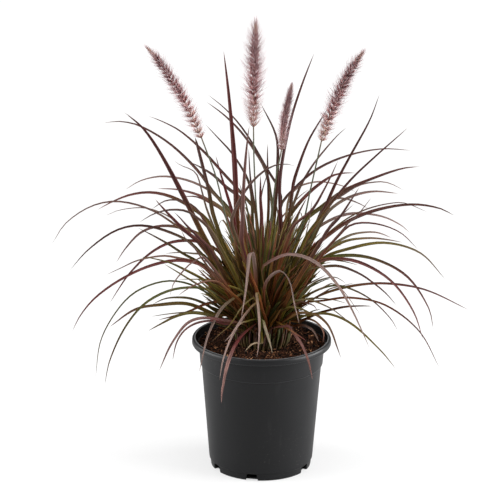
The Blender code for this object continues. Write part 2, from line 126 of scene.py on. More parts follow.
# Paths and maps
SPLINE_SAMPLES = 16
MAP_COLUMNS = 200          # a piece of no more bodies than this has them in one row of its map
MAP_MARGIN = 0.06

# Leaf blade
LEAF_SEED = 11
SMALL_LEAF_SEED = 12
LEAF_RINGS = 32
LEAF_ROOT_WIDTH = 2.6 * MM
LEAF_TAPER = 0.60          # lower is a blunter leaf
BLUNT_TAPER = 0.20         # of a leaf that has lost its tip
LEAF_WIDEST_AT = 0.35      # share of the way from root to tip
LATE_WIDEST_AT = 0.70      # the same of a leaf that droops over the front
LATE_TAPER = 0.75
LEAF_FOLD = 0.16           # how far the blade's edges stand over its midrib, as a share of its width
LEAF_ROOT_FOLD = 0.42      # the same where the leaf leaves the crown
LEAF_OPENED = 0.18         # share of its length by which it has opened
LEAF_TURNED = 0.25         # share of its length by which it has turned to the view
LEAF_FACING = 0.75         # how far a blade turns its face to the photograph's view, as a share
LEAF_TWIST = math.radians(260.0)   # the most that a blade twists over its whole length
THICKET_FACING = 0.35
LEAF_CURL = 0.15           # largest random turn in radians
LEAF_WAVE = 0.10           # a slow turn to and fro along the blade, in radians
LEAF_LIGHT = (0.55, 0.88)  # least and most brightness of a leaf
# A leaf that droops over the front is kept lighter, as part of its painted sheen
LATE_LIGHT = (0.82, 1.02)  # the same of one that droops over the front
# A thicket leaf's least and most brightness: its darkest leaves are painted shade in the crowded middle of
# the clump
THICKET_LIGHT = (0.24, 1.52)
ROOT_RINGS = (43.0 * MM, 33.0 * MM, 22.0 * MM)
ROOT_LIFT = 1.6 * MM
FOOT_STEPS = 3
FOOT_LIFT = 2.0 * MM       # height over the mix at which a leaf or a stem starts inside the crown
LEAF_FOOT_REACH = 0.6      # how far out from the crown's middle it starts there, as a share of its root's
STEM_FOOT_REACH = 0.8
BLADE_THICKNESS = 0.34 * MM
RIB_THICKNESS = 0.36 * MM

# Leaf colouring: tone runs from olive (0) to purple (1) and to purple right from the root (2), red adds
# wine red, pale adds grey-tan past the blade's middle: partly dryness, partly a painted sheen on arching
# blades
KINDS = {
    "plum": (0.85, 0.15, 0.00),
    "wine": (1.15, 0.85, 0.04),
    "olive": (0.25, 0.05, 0.00),
    "green": (0.00, 0.00, 0.05),
    "bronze": (0.80, 0.62, 0.00),
    "rose": (1.90, 0.80, 0.30),
    "slate": (0.90, 0.00, 0.22),
    "taupe": (1.20, 0.20, 0.60),
    "mauve": (1.80, 0.40, 0.14),
    "straw": (0.10, 0.05, 0.50),
}

# The leaves that have a solid: kind, widest width in mm, how far the tip lies behind the pot's axis in mm
# (in front is negative), and the midrib as picture points from where it leaves the crowd of leaves
# to its tip.
LEAVES = {
    "leaf_left_01": ("bronze", 10.5, -70, (
        (222, 275), (201, 232), (180, 190), (160, 153), (143, 128.5), (124, 112))),
    "leaf_left_02": ("plum", 6.3, 120, (
        (232, 215), (213, 192), (197, 170), (170, 144), (140, 126), (120, 121.5), (103, 123))),
    "leaf_left_03": ("plum", 6.6, 170, (
        (256, 215), (240, 192), (222, 172), (203, 151), (180, 131), (160, 120.5), (148, 116))),
    "leaf_left_04": ("plum", 7.1, 60, ((213, 214), (209, 192), (203, 168), (195, 137))),
    "leaf_left_05": ("slate", 5.8, 200, (
        (236, 228), (216, 196), (198, 184.5), (180, 178.5), (160, 176.5), (140, 181), (125, 190))),
    "leaf_left_06": ("plum", 7.4, 250, ((240, 232), (226, 212), (204, 197.5), (180, 190), (157, 188.5))),
    "leaf_left_07": ("plum", 8.0, 80, (
        (210, 225), (190, 207), (170, 196.5), (150, 192.5), (130, 195), (112, 202), (97, 210))),
    "leaf_left_08": ("slate", 4.3, -10, (
        (205, 250), (178, 227), (150, 209.5), (118, 201.5), (92, 206), (66, 223), (52, 244))),
    "leaf_left_09": ("slate", 7.1, -165, (
        (214, 236), (190, 213), (173, 209.8), (155, 213.5), (139, 222.5))),
    "leaf_left_10": ("plum", 5.6, -85, (
        (195, 247), (170, 232.5), (140, 225.5), (115, 231), (88, 250), (70, 270))),
    "leaf_left_11": ("plum", 7.3, 150, (
        (205, 240), (188, 230), (163, 226), (142, 232), (126, 248), (116, 263))),
    "leaf_left_12": ("wine", 6.0, 60, (
        (224, 258), (203, 243), (175, 241.5), (152, 252), (130, 273), (118, 290), (110, 303))),
    "leaf_left_13": ("wine", 6.2, -130, (
        (205, 268), (180, 260.5), (150, 266), (120, 280), (95, 298), (80, 316), (72, 332))),
    "leaf_left_14": ("olive", 3.6, -60, (
        (200, 289), (170, 281), (139, 290), (119, 308), (101, 340), (95.5, 378))),
    "leaf_left_15": ("olive", 5.2, -190, (
        (212, 292), (178, 288.7), (147, 302), (126, 326), (110, 360), (104.5, 386))),
    "leaf_left_16": ("bronze", 7.0, 20, ((217, 315), (188, 304), (160, 304.8), (135, 309.5), (109.5, 327))),
    "leaf_left_17": ("mauve", 6.0, -260, ((215, 319), (190, 321.5), (172, 343), (159, 371))),
    "leaf_front_01": ("taupe", 6.8, -160, (
        (245, 294), (232, 299.5), (220, 311), (208, 336), (202, 360), (199, 373))),
    "leaf_front_02": ("taupe", 5.6, -230, ((257, 303), (244, 316), (231, 338), (223, 360), (219.5, 381))),
    "leaf_front_03": ("rose", 8.4, -290, ((255, 325), (239, 339), (228, 362), (222, 392), (221.5, 404))),
    "leaf_front_04": ("mauve", 6.6, -260, (
        (288, 326), (293, 332), (302, 345), (308, 360), (311, 372), (312.5, 380.5))),
    "leaf_front_05": ("taupe", 7.6, -150, (
        (264, 291), (270, 277), (281, 271.5), (289, 281), (294, 303), (299.5, 325))),
    "leaf_front_06": ("taupe", 7.8, -230, (
        (262, 270), (275, 259), (292, 254.3), (315, 262), (336, 283), (351.5, 309), (370, 349))),
    "leaf_middle_01": ("bronze", 11.2, -30, (
        (237, 255), (236.5, 220), (234, 160), (229, 100), (223.5, 50))),
    "leaf_middle_02": ("plum", 5.5, 120, ((281, 201), (264, 164), (244, 130.5), (226, 109.5), (207, 94))),
    "leaf_middle_03": ("plum", 7.9, 40, ((275, 205), (277.5, 165), (276, 136), (261, 104))),
    "leaf_right_01": ("wine", 7.9, 20, ((280, 195), (282, 165), (291, 120), (302, 85), (314.4, 52.6))),
    "leaf_right_02": ("plum", 7.4, 70, ((293, 187), (298.5, 167), (308.5, 141), (320, 121), (329, 107))),
    "leaf_right_03": ("plum", 5.7, 110, (
        (280, 209), (297, 186), (320, 167.5), (350, 155), (382, 149), (412, 150.5))),
    "leaf_right_04": ("plum", 6.7, -60, (
        (303, 246), (322, 214), (336, 183), (351.5, 154), (370, 120), (379.8, 93.5))),
    "leaf_right_05": ("plum", 6.7, -120, (
        (305, 240), (321, 217), (350, 181), (375, 157), (400, 134.8), (408, 127.5))),
    "leaf_right_06": ("plum", 9.1, 50, (
        (303, 224), (322, 207), (345, 190.5), (373, 178.5), (402, 168.7), (420, 166.5))),
    "leaf_right_07": ("plum", 6.3, -170, ((292, 229), (312, 210), (325, 188), (332, 174), (338, 160.5))),
    "leaf_right_08": ("slate", 7.7, 180, (
        (320, 224), (331, 209), (350, 197), (373, 191.5), (398.5, 193.5))),
    "leaf_right_09": ("plum", 7.6, -210, ((326, 233), (340, 217), (350, 202), (359.5, 187))),
    "leaf_right_10": ("plum", 7.7, -50, (
        (310, 253), (330, 234), (355, 218), (385, 208), (415, 204.5), (440, 208.5), (455, 216))),
    "leaf_right_11": ("slate", 6.5, 210, (
        (307, 239), (325, 223), (350, 213.8), (380, 216), (400, 224.7), (410, 233))),
    "leaf_right_12": ("bronze", 5.1, -150, (
        (322, 256), (338, 237), (352, 224.7), (375, 223.7), (400, 232.5), (418.5, 250))),
    "leaf_right_13": ("olive", 6.2, 115, ((320, 261), (350, 248.5), (385, 242.9), (420, 253), (445, 279))),
    "leaf_right_14": ("plum", 6.5, -95, (
        (322, 262), (350, 255.4), (380, 261), (408, 277.5), (428.5, 308), (433.5, 330))),
    "leaf_right_15": ("wine", 6.8, -155, (
        (316, 264), (345, 259.3), (370, 267), (394, 284), (414, 313), (423, 340))),
    "leaf_right_16": ("wine", 4.9, 20, (
        (300, 309), (320, 295.5), (350, 286.4), (385, 283.4), (425, 289.7), (469, 310))),
    "leaf_right_17": ("plum", 4.0, -100, (
        (297, 306), (325, 300.5), (350, 297.7), (385, 305), (419, 331), (440, 369))),
    "leaf_right_18": ("olive", 5.0, -235, ((296, 318), (325, 313.6), (350, 323), (380, 350), (396, 369))),
    "leaf_back_01": ("olive", 5.8, 270, ((286, 250), (296, 222), (300, 212), (303, 222))),
    "leaf_back_02": ("plum", 6.2, 300, ((268, 250), (273, 215), (276, 206), (279, 222))),
    "leaf_back_03": ("olive", 6.2, 300, ((254, 250), (249, 216), (245, 207), (241, 224))),
    "leaf_back_04": ("plum", 6.2, 260, ((238, 255), (228, 228), (222, 220), (217, 232))),
}

BLUNT_LEAVES = ("leaf_left_04",)
BLUNT_SHAPE = {"taper": BLUNT_TAPER}
LATE_SHAPE = {"taper": LATE_TAPER, "widest_at": LATE_WIDEST_AT, "light": LATE_LIGHT}

# The smaller leaves that the photograph shows one by one, in the same terms, joined by the side
# they grow on
SMALL_LEAVES = {
    "left": (
        ("slate", 4.7, 110, ((207, 210), (202, 192), (197, 175), (192, 170), (180, 165), (174, 160.5))),
        ("plum", 9.2, 190, ((240, 200), (226, 187), (213, 175), (200, 167), (190, 162))),
        ("plum", 6.8, 230, ((225, 214), (210, 203), (197, 197), (187, 196.5), (180, 197))),
        ("slate", 6.5, 60, ((205, 222), (195, 208), (182, 201), (166, 200.7), (152, 209))),
        ("slate", 3.5, 30, ((190, 233), (175, 221), (165, 214.5), (145, 208), (120, 210), (105, 216))),
        ("wine", 10.0, -60, ((216, 262), (200, 243), (185, 231), (172, 218), (160, 205), (155, 199))),
        ("wine", 7.7, -100, ((212, 252), (199, 238), (187, 226), (180, 218), (174, 212))),
        ("plum", 6.3, -20, ((212, 272), (198, 262), (182, 253), (168, 244), (150, 234), (138, 228))),
        ("slate", 4.8, -120, ((196, 250), (187, 241), (181, 230))),
        ("slate", 4.9, -40, (
            (208, 270), (195, 262), (180, 258.5), (163, 256), (138, 260.5), (120, 268.5), (106, 275))),
        ("olive", 6.1, -140, ((216, 288), (204, 280), (187, 271), (170, 263), (150, 258), (141, 257))),
        ("olive", 4.8, -150, ((212, 294), (200, 286), (188, 278.5), (170, 267.5), (164, 264))),
        ("slate", 5.1, 60, ((205, 256), (192, 253.5), (180, 252.5), (165, 253.5))),
        ("slate", 6.0, -190, ((205, 258), (192, 263), (183, 271.5), (174, 283), (170, 296))),
        ("plum", 5.6, -200, ((222, 285), (210, 281), (194, 285.5), (183, 292), (178, 296))),
        ("olive", 4.6, -120, ((244, 294), (225, 285), (205, 280), (186, 279.3), (178, 279.5))),
        ("slate", 5.6, -30, ((219, 313), (205, 304), (190, 298.5), (175, 297.5), (164, 299), (153, 304))),
        ("slate", 3.5, 60, ((215, 314), (200, 312.5), (185, 312.5), (168, 314), (151, 316.5))),
        ("plum", 7.1, -130, (
            (228, 322), (216, 317.5), (204, 314), (190, 313), (175, 317), (160, 324.5), (148, 331))),
        ("plum", 5.6, -60, ((228, 297), (216, 301.5), (203, 305), (190, 311), (176, 315.5), (158, 320))),
        ("mauve", 4.8, -230, (
            (224, 324), (212, 321), (196, 323.5), (184, 331), (176.5, 343), (172.5, 361))),
    ),
    "front": (
        ("bronze", 3.2, -180, ((254, 298), (242, 307), (230, 325), (220, 334), (210, 343))),
        ("taupe", 8.4, -170, (
            (257, 300), (255, 270), (252.6, 253), (250.2, 252.4), (248, 268), (246, 288), (243, 308),
            (241, 319))),
        ("taupe", 3.6, -200, ((244, 322), (236, 328), (230, 336), (224, 342))),
        ("taupe", 6.2, -250, (
            (262, 322), (259, 304), (257.5, 292), (256.4, 292.5), (258.5, 310), (259.5, 330), (258, 350),
            (256.5, 358))),
        ("bronze", 7.2, -120, ((266, 325), (262, 308), (257, 290), (253, 280), (250, 270))),
        ("straw", 6.6, -230, (
            (262, 335), (261, 324), (262.6, 319.6), (265, 328), (268, 337), (271, 347), (272.5, 354))),
        ("straw", 4.8, -180, ((262, 343), (256, 343), (251, 345), (247, 349), (245, 352))),
        ("wine", 3.8, -210, ((290, 330), (296, 334), (301, 337), (306, 341))),
        ("slate", 3.5, -150, ((330, 284), (341, 289), (349, 298.5), (357, 310), (361, 315.5))),
    ),
    "middle": (
        ("slate", 5.9, 90, ((252, 200), (249, 183), (243, 170), (231, 152), (220, 140), (205, 124))),
        ("plum", 7.3, 100, (
            (272, 216), (269.5, 190), (265, 169), (254, 150), (241, 132), (224, 115), (206, 101.5))),
        ("mauve", 8.2, -90, (
            (242, 245), (242.5, 218), (243.5, 190), (245.5, 160), (248, 135), (249.5, 125))),
        ("plum", 6.1, -20, ((258, 235), (255, 210), (250.5, 180), (248.5, 148))),
        ("plum", 6.1, 60, ((268.5, 210), (268, 180), (267.5, 155), (267.8, 143))),
        ("slate", 6.9, -60, (
            (232, 225), (236, 208), (246, 190), (258, 176), (272, 166.5), (285, 164), (295, 166))),
        ("slate", 5.4, 30, ((261, 232), (261, 219), (261, 197), (267, 175), (271, 168.5))),
        ("wine", 9.4, -50, ((261.5, 232), (261.5, 215), (260.5, 200), (260.5, 175))),
        ("wine", 8.2, -30, ((236, 236), (233, 216), (226, 192), (220, 172), (215.5, 155))),
        ("plum", 4.8, 40, ((248, 215), (244, 197), (241, 189), (239, 181))),
    ),
    "right": (
        ("slate", 5.7, 120, (
            (290, 215), (295.5, 199), (300, 187), (306, 176), (315, 162), (336, 137), (347, 127))),
        ("slate", 5.0, 60, (
            (330, 205), (345, 193.5), (360, 185), (380, 181.8), (390, 183.5), (404, 190.5))),
        ("plum", 8.7, 130, ((284, 226), (292, 212), (310, 192), (330, 177), (341, 173.5), (355.5, 172.8))),
        ("slate", 4.4, 150, ((280, 222), (289, 209), (296, 200), (305, 192), (310, 189))),
        ("slate", 5.1, 180, (
            (288, 202), (292, 193), (300, 186.2), (311, 182.8), (322, 181.8), (345, 186.7), (356, 192.5))),
        ("plum", 8.2, -60, ((286, 240), (291.5, 227), (297, 216.5), (304, 203), (307, 198))),
        ("plum", 4.8, 60, ((285, 225), (292, 212), (300, 203.5), (306, 198))),
        ("slate", 3.2, -30, ((309, 222), (311, 208), (312.5, 198))),
        ("slate", 3.6, 0, ((322, 210), (333, 198), (345, 186))),
        ("slate", 7.0, 100, ((322, 210), (331, 202), (337, 198.3), (348, 199.5), (360, 204), (368, 208.5))),
        ("slate", 5.0, -60, ((346, 226), (359, 213.5), (365, 206), (371.5, 197.5))),
        ("slate", 5.6, -40, ((330, 226), (342, 215), (354, 204))),
        ("plum", 3.8, 60, (
            (318, 244), (330, 232), (350, 217), (372, 207.5), (397, 202.6), (408, 204), (428, 212.5))),
        ("slate", 6.4, 90, ((318, 256), (331, 246), (350, 235.3), (366, 232.3), (378, 232.8), (392, 238))),
        ("plum", 6.2, 140, (
            (315, 262), (326, 252), (345, 241.3), (368, 238.2), (386, 239.5), (403, 242.5))),
        ("olive", 4.4, 60, ((318, 260), (329, 251), (335, 246.5), (343, 244.7))),
        ("plum", 4.3, -40, ((325, 261), (340, 261), (350, 263), (359, 265.5))),
        ("plum", 5.6, -150, (
            (308, 270), (323, 266.8), (340, 266.3), (360, 274), (374, 283.5), (386, 293.5), (397, 306))),
        ("olive", 4.4, 20, ((308, 270), (321, 264.5), (332, 262))),
        ("plum", 4.3, -130, (
            (290, 318), (297, 305), (310, 294), (330, 286.2), (345, 287), (370, 299), (390, 318),
            (398, 331))),
        ("olive", 5.7, -50, ((303, 320), (317, 314), (330, 310.2), (345, 307), (360, 306), (372, 306.2))),
        ("slate", 3.9, -180, (
            (290, 303), (300, 300), (310, 300), (331, 308.5), (341, 315.7), (350, 322.5))),
        ("slate", 3.4, -40, ((306, 300), (320, 298.5), (334, 300), (347, 303.5))),
        ("slate", 4.6, -120, (
            (298, 302), (304, 291), (316, 282), (327, 278.2), (335, 277.3), (342, 280.5), (346, 284))),
        ("olive", 4.8, -80, ((298, 300), (304, 291), (314, 285), (326, 279.7), (331, 278.7))),
        ("slate", 4.0, 20, ((300, 292), (307, 285), (315, 280.5), (326, 275))),
        ("slate", 3.2, 10, ((328, 290), (342, 286), (350, 284), (355, 282.5))),
        ("plum", 5.4, -235, (
            (290, 318), (300, 313), (312, 313.7), (319, 316.5), (327.5, 324.5), (332.5, 334), (336, 344),
            (341, 358))),
        ("wine", 5.4, -25, ((300, 322), (306, 319), (314, 321), (321, 327), (323.8, 335), (322.5, 343))),
        ("straw", 4.8, -30, ((294, 326), (300, 325), (308, 327), (314, 332), (319, 342))),
        ("bronze", 5.4, -150, ((288, 308), (296, 308), (301, 309), (310, 313), (319, 317))),
        ("plum", 4.8, -60, ((300, 318), (311, 312), (315, 310.5), (321, 309.3))),
        ("wine", 5.0, -100, ((300, 302), (306, 303), (314, 306), (317.5, 311.5))),
        ("green", 5.8, -60, ((285, 322), (297, 316), (306, 315))),
        ("olive", 6.2, -60, ((290, 318), (293, 298), (302, 283), (312, 270), (320, 262))),
    ),
}

# Leaves in the thick of the clump, grown at random: their picture points past the first quarter of their
# length stay inside this outline, so that the single leaves above stand clear of them.
THICKET_OUTLINE = ((198, 290), (194, 266), (205, 246), (218, 226), (234, 211), (250, 204), (262, 220),
                   (274, 210), (290, 204), (306, 210), (322, 224), (330, 246), (324, 264), (316, 284),
                   (314, 306), (302, 346), (228, 349), (208, 318))
THICKET_SHAPE = {"facing": THICKET_FACING, "light": THICKET_LIGHT}
THICKET_KINDS = ("olive", "olive", "green", "bronze", "plum", "plum", "wine", "wine")
THICKET_SEED = 13
THICKET_LEAVES = 470
THICKET_RINGS = 18
THICKET_SHORTEST = 60.0 * MM
THICKET_LONGEST = 340.0 * MM
THICKET_STEP = 12.0 * MM
THICKET_FRONT = -78.0 * MM
RIM_MARGIN = 6.0 * MM      # a thicket leaf keeps this far in from the lip, or well over it
AIR_OVER_MIX = 3.0 * MM
AIR_OVER_RIM = 4.0 * MM
AIR_OVER_FLOOR = 20.0 * MM

# Each flower: how far its tip lies behind the pot's axis in mm, its stem and its plume as picture points,
# and the plume's radius in mm, out to the ends of its bristles and of its thick inner part.
FLOWERS = {
    "left": (60, ((228, 225), (216, 177), (205, 147), (201.5, 138)),
             ((185, 102), (159.4, 62), (142, 42)), 16.5, 8.6),
    "middle": (20, ((257, 215), (254, 160), (253.5, 127)),
               ((253.8, 90), (254.5, 55), (256, 16)), 20.5, 8.3),
    "small": (-50, ((272, 215), (276.5, 175), (281.5, 150)),
              ((284.5, 120), (288.5, 100), (292.8, 79)), 9.5, 4.9),
    "right": (-75, ((300, 232), (311, 187), (321.5, 141)),
              ((331, 113), (347, 77), (367, 46)), 17.5, 9.0),
}
STEM_RADIUS = 1.1 * MM
STEM_SIDES = 12
STEM_STEPS = 48
STEM_JOINTS = (0.30, 0.62)     # shares of the stem's length
JOINT_SWELL = 0.30 * MM
JOINT_REACH = 0.012
STEM_RING = 11.0 * MM
STEM_FIRST_BEARING = math.radians(-120.0)
STEM_BEARING_STEP = math.radians(90.0)
PLUME_SEED = 41
PLUME_STEPS = 60
PLUME_TOP = 0.90           # how far up its length the plume's axis runs
PLUME_AXIS_RADIUS = 0.70 * MM
PLUME_AXIS_SIDES = 8
WHORL_STEPS = (10.5 * MM, 5.6 * MM)    # height from one whorl of tufts to the next, at the foot and the top
WHORL_FULL_RADIUS = 9.0 * MM    # a plume with a smaller inner radius has its whorls closer by as much
WHORL_TUFTS = 8
LOOSE_FOOT = 0.5           # share of the plume's length, from its foot, in which spikelets are fewer
TUFT_SPIKELETS = 4
TUFT_BRISTLES = 17
SPIKELET_LENGTH = 1.42     # over the plume's inner radius
SPIKELET_GIRTH = 0.75 * MM
SPIKELET_SIDES = 6
BRISTLE_GIRTH = 0.15 * MM
BRISTLE_SIDES = 3
# What share of the spikelets and of the bristles stands at which share of the plume's length
SPIKELETS_KEPT = ((0.0, LOOSE_FOOT), (0.22, 1.0))
BRISTLES_KEPT = ((0.55, 1.0), (1.0, 0.45))
# How far they reach up the plume's length, as shares of the most
SPIKELET_REACH = ((0.0, 0.75, 1.0), (0.92, 1.0, 0.50))
BRISTLE_REACH = ((0.0, 0.1, 0.4, 0.85, 1.0), (0.66, 0.84, 0.98, 0.84, 0.52))
# The plume's inner radius up its length, as shares of its widest
PLUME_OUTLINE = ((0.0, 0.12, 0.38, 0.62, 0.78, 0.88, 0.94, 1.0),
                 (0.86, 1.00, 1.00, 1.00, 0.88, 0.54, 0.26, 0.08))


class Gather:
    """Closed bodies on their way into one mesh, with the values that their material reads."""

    def __init__(self):
        self.points = []
        self.faces = []
        self.kinds = []
        self.cells = []
        self.blade = []
        self.values = {}
        self.size = 0

    def add(self, rings, first, last, across, lengths, kind=0, **values):
        """Bodies of one build: rings[body, ring, side], closed by a single point at each end. across has a
        value for each side and one more for the way round; lengths and values have one for the first
        point, each ring and the last point."""
        bodies, ring_count, sides = rings.shape[:3]
        own = ring_count * sides + 2
        ids = 1 + np.arange(ring_count * sides).reshape(ring_count, sides)
        after = np.roll(ids, -1, axis=1)
        root_fan = np.stack((np.zeros(sides, int), after[0], ids[0]), axis=1)
        walls = np.stack((ids[:-1], after[:-1], after[1:], ids[1:]), axis=2).reshape(-1, 4)
        tip_fan = np.stack((ids[-1], after[-1], np.full(sides, own - 1)), axis=1)
        points = np.concatenate((first[:, None], rings.reshape(bodies, -1, 3), last[:, None]), axis=1)
        fans = np.concatenate((root_fan, walls[:, [0, 1, 2]], walls[:, [0, 2, 3]], tip_fan))
        corners = points[0][fans]
        volume = np.einsum("ij,ij->", corners[:, 0], np.cross(corners[:, 1], corners[:, 2]))
        turned = volume < 0.0

        round_low = np.arange(sides) / sides
        round_high = (np.arange(sides) + 1) / sides
        rise = np.arange(ring_count + 2) / (ring_count + 1)
        cell = self._corner_values(round_low, round_high, rise)
        blade_maps = [self._corner_values(across[:-1], across[1:], row) for row in lengths]
        for body, blade_map in enumerate(blade_maps):
            shift = self.size + body * own
            for block in (root_fan, walls, tip_fan):
                order = block[:, ::-1] if turned else block
                self.faces.extend((order + shift).tolist())
            self.cells.append(self._ordered(cell, turned))
            self.blade.append(self._ordered(blade_map, turned))
        self.kinds.extend([kind] * (bodies * (2 * sides + len(walls))))
        self.points.append(points.reshape(-1, 3))
        for name, rows in values.items():
            inner = np.repeat(rows[:, 1:-1], sides, axis=1)
            spread = np.concatenate((rows[:, :1], inner, rows[:, -1:]), axis=1)
            self.values.setdefault(name, []).append(spread.reshape(-1))
        self.size += bodies * own

    @staticmethod
    def _corner_values(low, high, rise):
        """Map coordinates of every face corner: the root fan, the walls and the tip fan."""
        def corners(*places):
            points = [np.stack((across, np.full_like(low, level)), 1) for across, level in places]
            return np.stack(points, axis=1)

        middle = (low + high) / 2.0
        fan = corners((middle, rise[0]), (high, rise[1]), (low, rise[1]))
        walls = [corners((low, here), (high, here), (high, there), (low, there))
                 for here, there in zip(rise[1:-2], rise[2:-1])]
        tip = corners((low, rise[-2]), (high, rise[-2]), (middle, rise[-1]))
        return fan, np.concatenate(walls), tip

    @staticmethod
    def _ordered(parts, turned):
        if turned:
            parts = [part[:, ::-1] for part in parts]
        return np.concatenate([part.reshape(-1, 2) for part in parts])

    def build(self, name, materials):
        mesh = bpy.data.meshes.new(name)
        mesh.from_pydata(np.concatenate(self.points).tolist(), [], self.faces)
        self._lay_out(mesh)
        blade = mesh.uv_layers.new(name="blade")
        blade.uv.foreach_set("vector", np.concatenate(self.blade).astype(np.float32).ravel())
        for value, parts in self.values.items():
            layer = mesh.attributes.new(value, "FLOAT", "POINT")
            layer.data.foreach_set("value", np.concatenate(parts).astype(np.float32))
        for material in materials:
            mesh.materials.append(material)
        mesh.polygons.foreach_set("material_index", self.kinds)
        mesh.shade_smooth()
        piece = bpy.data.objects.new(name, mesh)
        bpy.context.scene.collection.objects.link(piece)
        return piece

    def _lay_out(self, mesh):
        """Each body gets a cell of its own in the map that finishes are baked to."""
        count = len(self.cells)
        columns = count if count <= MAP_COLUMNS else math.ceil(math.sqrt(count))
        rows = math.ceil(count / columns)
        placed = []
        for k, cell in enumerate(self.cells):
            corner = np.array((k % columns, k // columns))
            placed.append((corner + MAP_MARGIN + (1.0 - 2.0 * MAP_MARGIN) * cell) / (columns, rows))
        layer = mesh.uv_layers.new(name="OFBake")
        layer.uv.foreach_set("vector", np.concatenate(placed).astype(np.float32).ravel())


def distances(points):
    """How far along a path each of its points lies."""
    totals = [0.0]
    for before, after in zip(points, points[1:]):
        totals.append(totals[-1] + (after - before).length)
    return totals


def as_rows(places):
    return np.array([tuple(place) for place in places])


def smooth_path(points, count, start=None):
    """count + 1 evenly spaced points on a smooth curve through the given ones."""
    knots = distances(points)
    slopes = []
    for k in range(len(points)):
        low, high = max(k - 1, 0), min(k + 1, len(points) - 1)
        slopes.append((points[high] - points[low]) / (knots[high] - knots[low]))
    if start is not None:
        slopes[0] = start
    fine = []
    for k in range(len(points) - 1):
        span = knots[k + 1] - knots[k]
        for step in range(SPLINE_SAMPLES):
            s = step / SPLINE_SAMPLES
            fine.append((2 * s**3 - 3 * s**2 + 1) * points[k] + (s**3 - 2 * s**2 + s) * span * slopes[k]
                        + (3 * s**2 - 2 * s**3) * points[k + 1] + (s**3 - s**2) * span * slopes[k + 1])
    fine.append(points[-1])
    return even_path(fine, count)


def even_path(points, count):
    lengths = distances(points)
    path = []
    k = 0
    for step in range(count + 1):
        goal = lengths[-1] * step / count
        while k < len(points) - 2 and lengths[k + 1] < goal:
            k += 1
        share = (goal - lengths[k]) / (lengths[k + 1] - lengths[k])
        path.append(points[k].lerp(points[k + 1], min(share, 1.0)))
    return path


def view_axes():
    forward = Vector((0.0, math.cos(VIEW_PITCH), -math.sin(VIEW_PITCH)))
    level_up = Vector((0.0, math.sin(VIEW_PITCH), math.cos(VIEW_PITCH)))
    level_right = Vector((1.0, 0.0, 0.0))
    right = level_right * math.cos(VIEW_ROLL) + level_up * math.sin(VIEW_ROLL)
    above = level_up * math.cos(VIEW_ROLL) - level_right * math.sin(VIEW_ROLL)
    return right, above, forward


def from_picture(point, depth):
    """The place that shows at a picture point and lies depth behind the pot's axis."""
    right, above, forward = view_axes()
    eye = VIEW_TARGET - forward * VIEW_DISTANCE
    ray = forward + right * ((point[0] - PICTURE_CENTRE) / VIEW_FOCAL)
    ray += above * ((PICTURE_CENTRE - point[1]) / VIEW_FOCAL)
    return eye + ray * ((depth - eye.y) / ray.y)


def to_picture(place):
    right, above, forward = view_axes()
    arm = place - (VIEW_TARGET - forward * VIEW_DISTANCE)
    scale = VIEW_FOCAL / arm.dot(forward)
    return Vector((PICTURE_CENTRE + arm.dot(right) * scale, PICTURE_CENTRE - arm.dot(above) * scale))


def lifted_path(root, points, tip_depth):
    """The picture path as places in space: its depth runs evenly from the root's to the tip's."""
    flat = [to_picture(root)] + [Vector(point) for point in points]
    travelled = distances(flat)
    places = [root]
    for point, distance in zip(flat[1:], travelled[1:]):
        share = distance / travelled[-1]
        places.append(from_picture(point, root.y + (tip_depth - root.y) * share))
    return places


def profile_height(profile, radius, elsewhere):
    """Height at a radius of a turned surface, whose profile runs inwards as radius and height."""
    for (outer, outer_height), (inner, inner_height) in zip(profile, profile[1:]):
        if inner <= radius <= outer:
            return outer_height + (inner_height - outer_height) * (outer - radius) / (outer - inner)
    return elsewhere


def crown_surface(radius):
    """Height of the crown's top over the mix at a radius."""
    return profile_height(CROWN_PROFILE, radius, CROWN_HEIGHT)


def polar(radius, bearing, height):
    """A point at a distance and a bearing from the upright axis."""
    return Vector((radius * math.cos(bearing), radius * math.sin(bearing), height))


def crown_place(bearing, radius):
    """Where a leaf or a stem leaves the crown."""
    return CROWN_CENTRE + polar(radius, bearing, crown_surface(radius) + ROOT_LIFT)


def root_places(leaves):
    """Roots stand on the crown in three rings, in the order in which the leaves' tips lie round the pot."""
    def bearing(name):
        tip_depth, points = leaves[name][2:]
        tip = from_picture(points[-1], tip_depth * MM)
        return math.atan2(tip.y, tip.x)

    order = sorted(leaves, key=bearing)
    places = {}
    for k, name in enumerate(order):
        turn = -math.pi + 2.0 * math.pi * (k + 0.5) / len(order)
        places[name] = crown_place(turn, ROOT_RINGS[k % len(ROOT_RINGS)])
    return places


def soil_height(x, y):
    """Height of the potting mix's top, without its grain."""
    return profile_height(SOIL_PROFILE, math.hypot(x, y), SOIL_EDGE)


def smoothstep(low, high, value):
    share = np.clip((value - low) / (high - low), 0.0, 1.0)
    return share * share * (3.0 - 2.0 * share)


def unit(rows):
    return rows / np.maximum(np.linalg.norm(rows, axis=-1, keepdims=True), 1e-12)


# Where the points of a blade's section lie across it: over its upper face and back under it
SECTION_TOP = np.array((-1.0, -0.66, -0.33, 0.0, 0.33, 0.66, 1.0))
SECTION = np.concatenate((SECTION_TOP, SECTION_TOP[-2:0:-1]))
SECTION_UNDER = np.concatenate((np.zeros(len(SECTION_TOP)), np.ones(len(SECTION_TOP) - 2)))
SECTION_ACROSS = np.append((SECTION + 1.0) / 2.0, 0.0)


def facing_turns(face, along):
    """How far each section of a blade would turn about its length to face the view squarely."""
    forward = np.array(view_axes()[2])
    turns = np.arctan2(np.cross(along, face) @ forward, face @ forward)
    turns = np.unwrap(turns, period=math.pi)
    return turns - math.pi * round(turns[len(turns) // 2] / math.pi)


def sunk_foot(root, reach):
    """Where a leaf or a stem starts inside the crown, under its root."""
    arm = ((root.x - CROWN_CENTRE.x) * reach, (root.y - CROWN_CENTRE.y) * reach, FOOT_LIFT)
    return CROWN_CENTRE + Vector(arm)


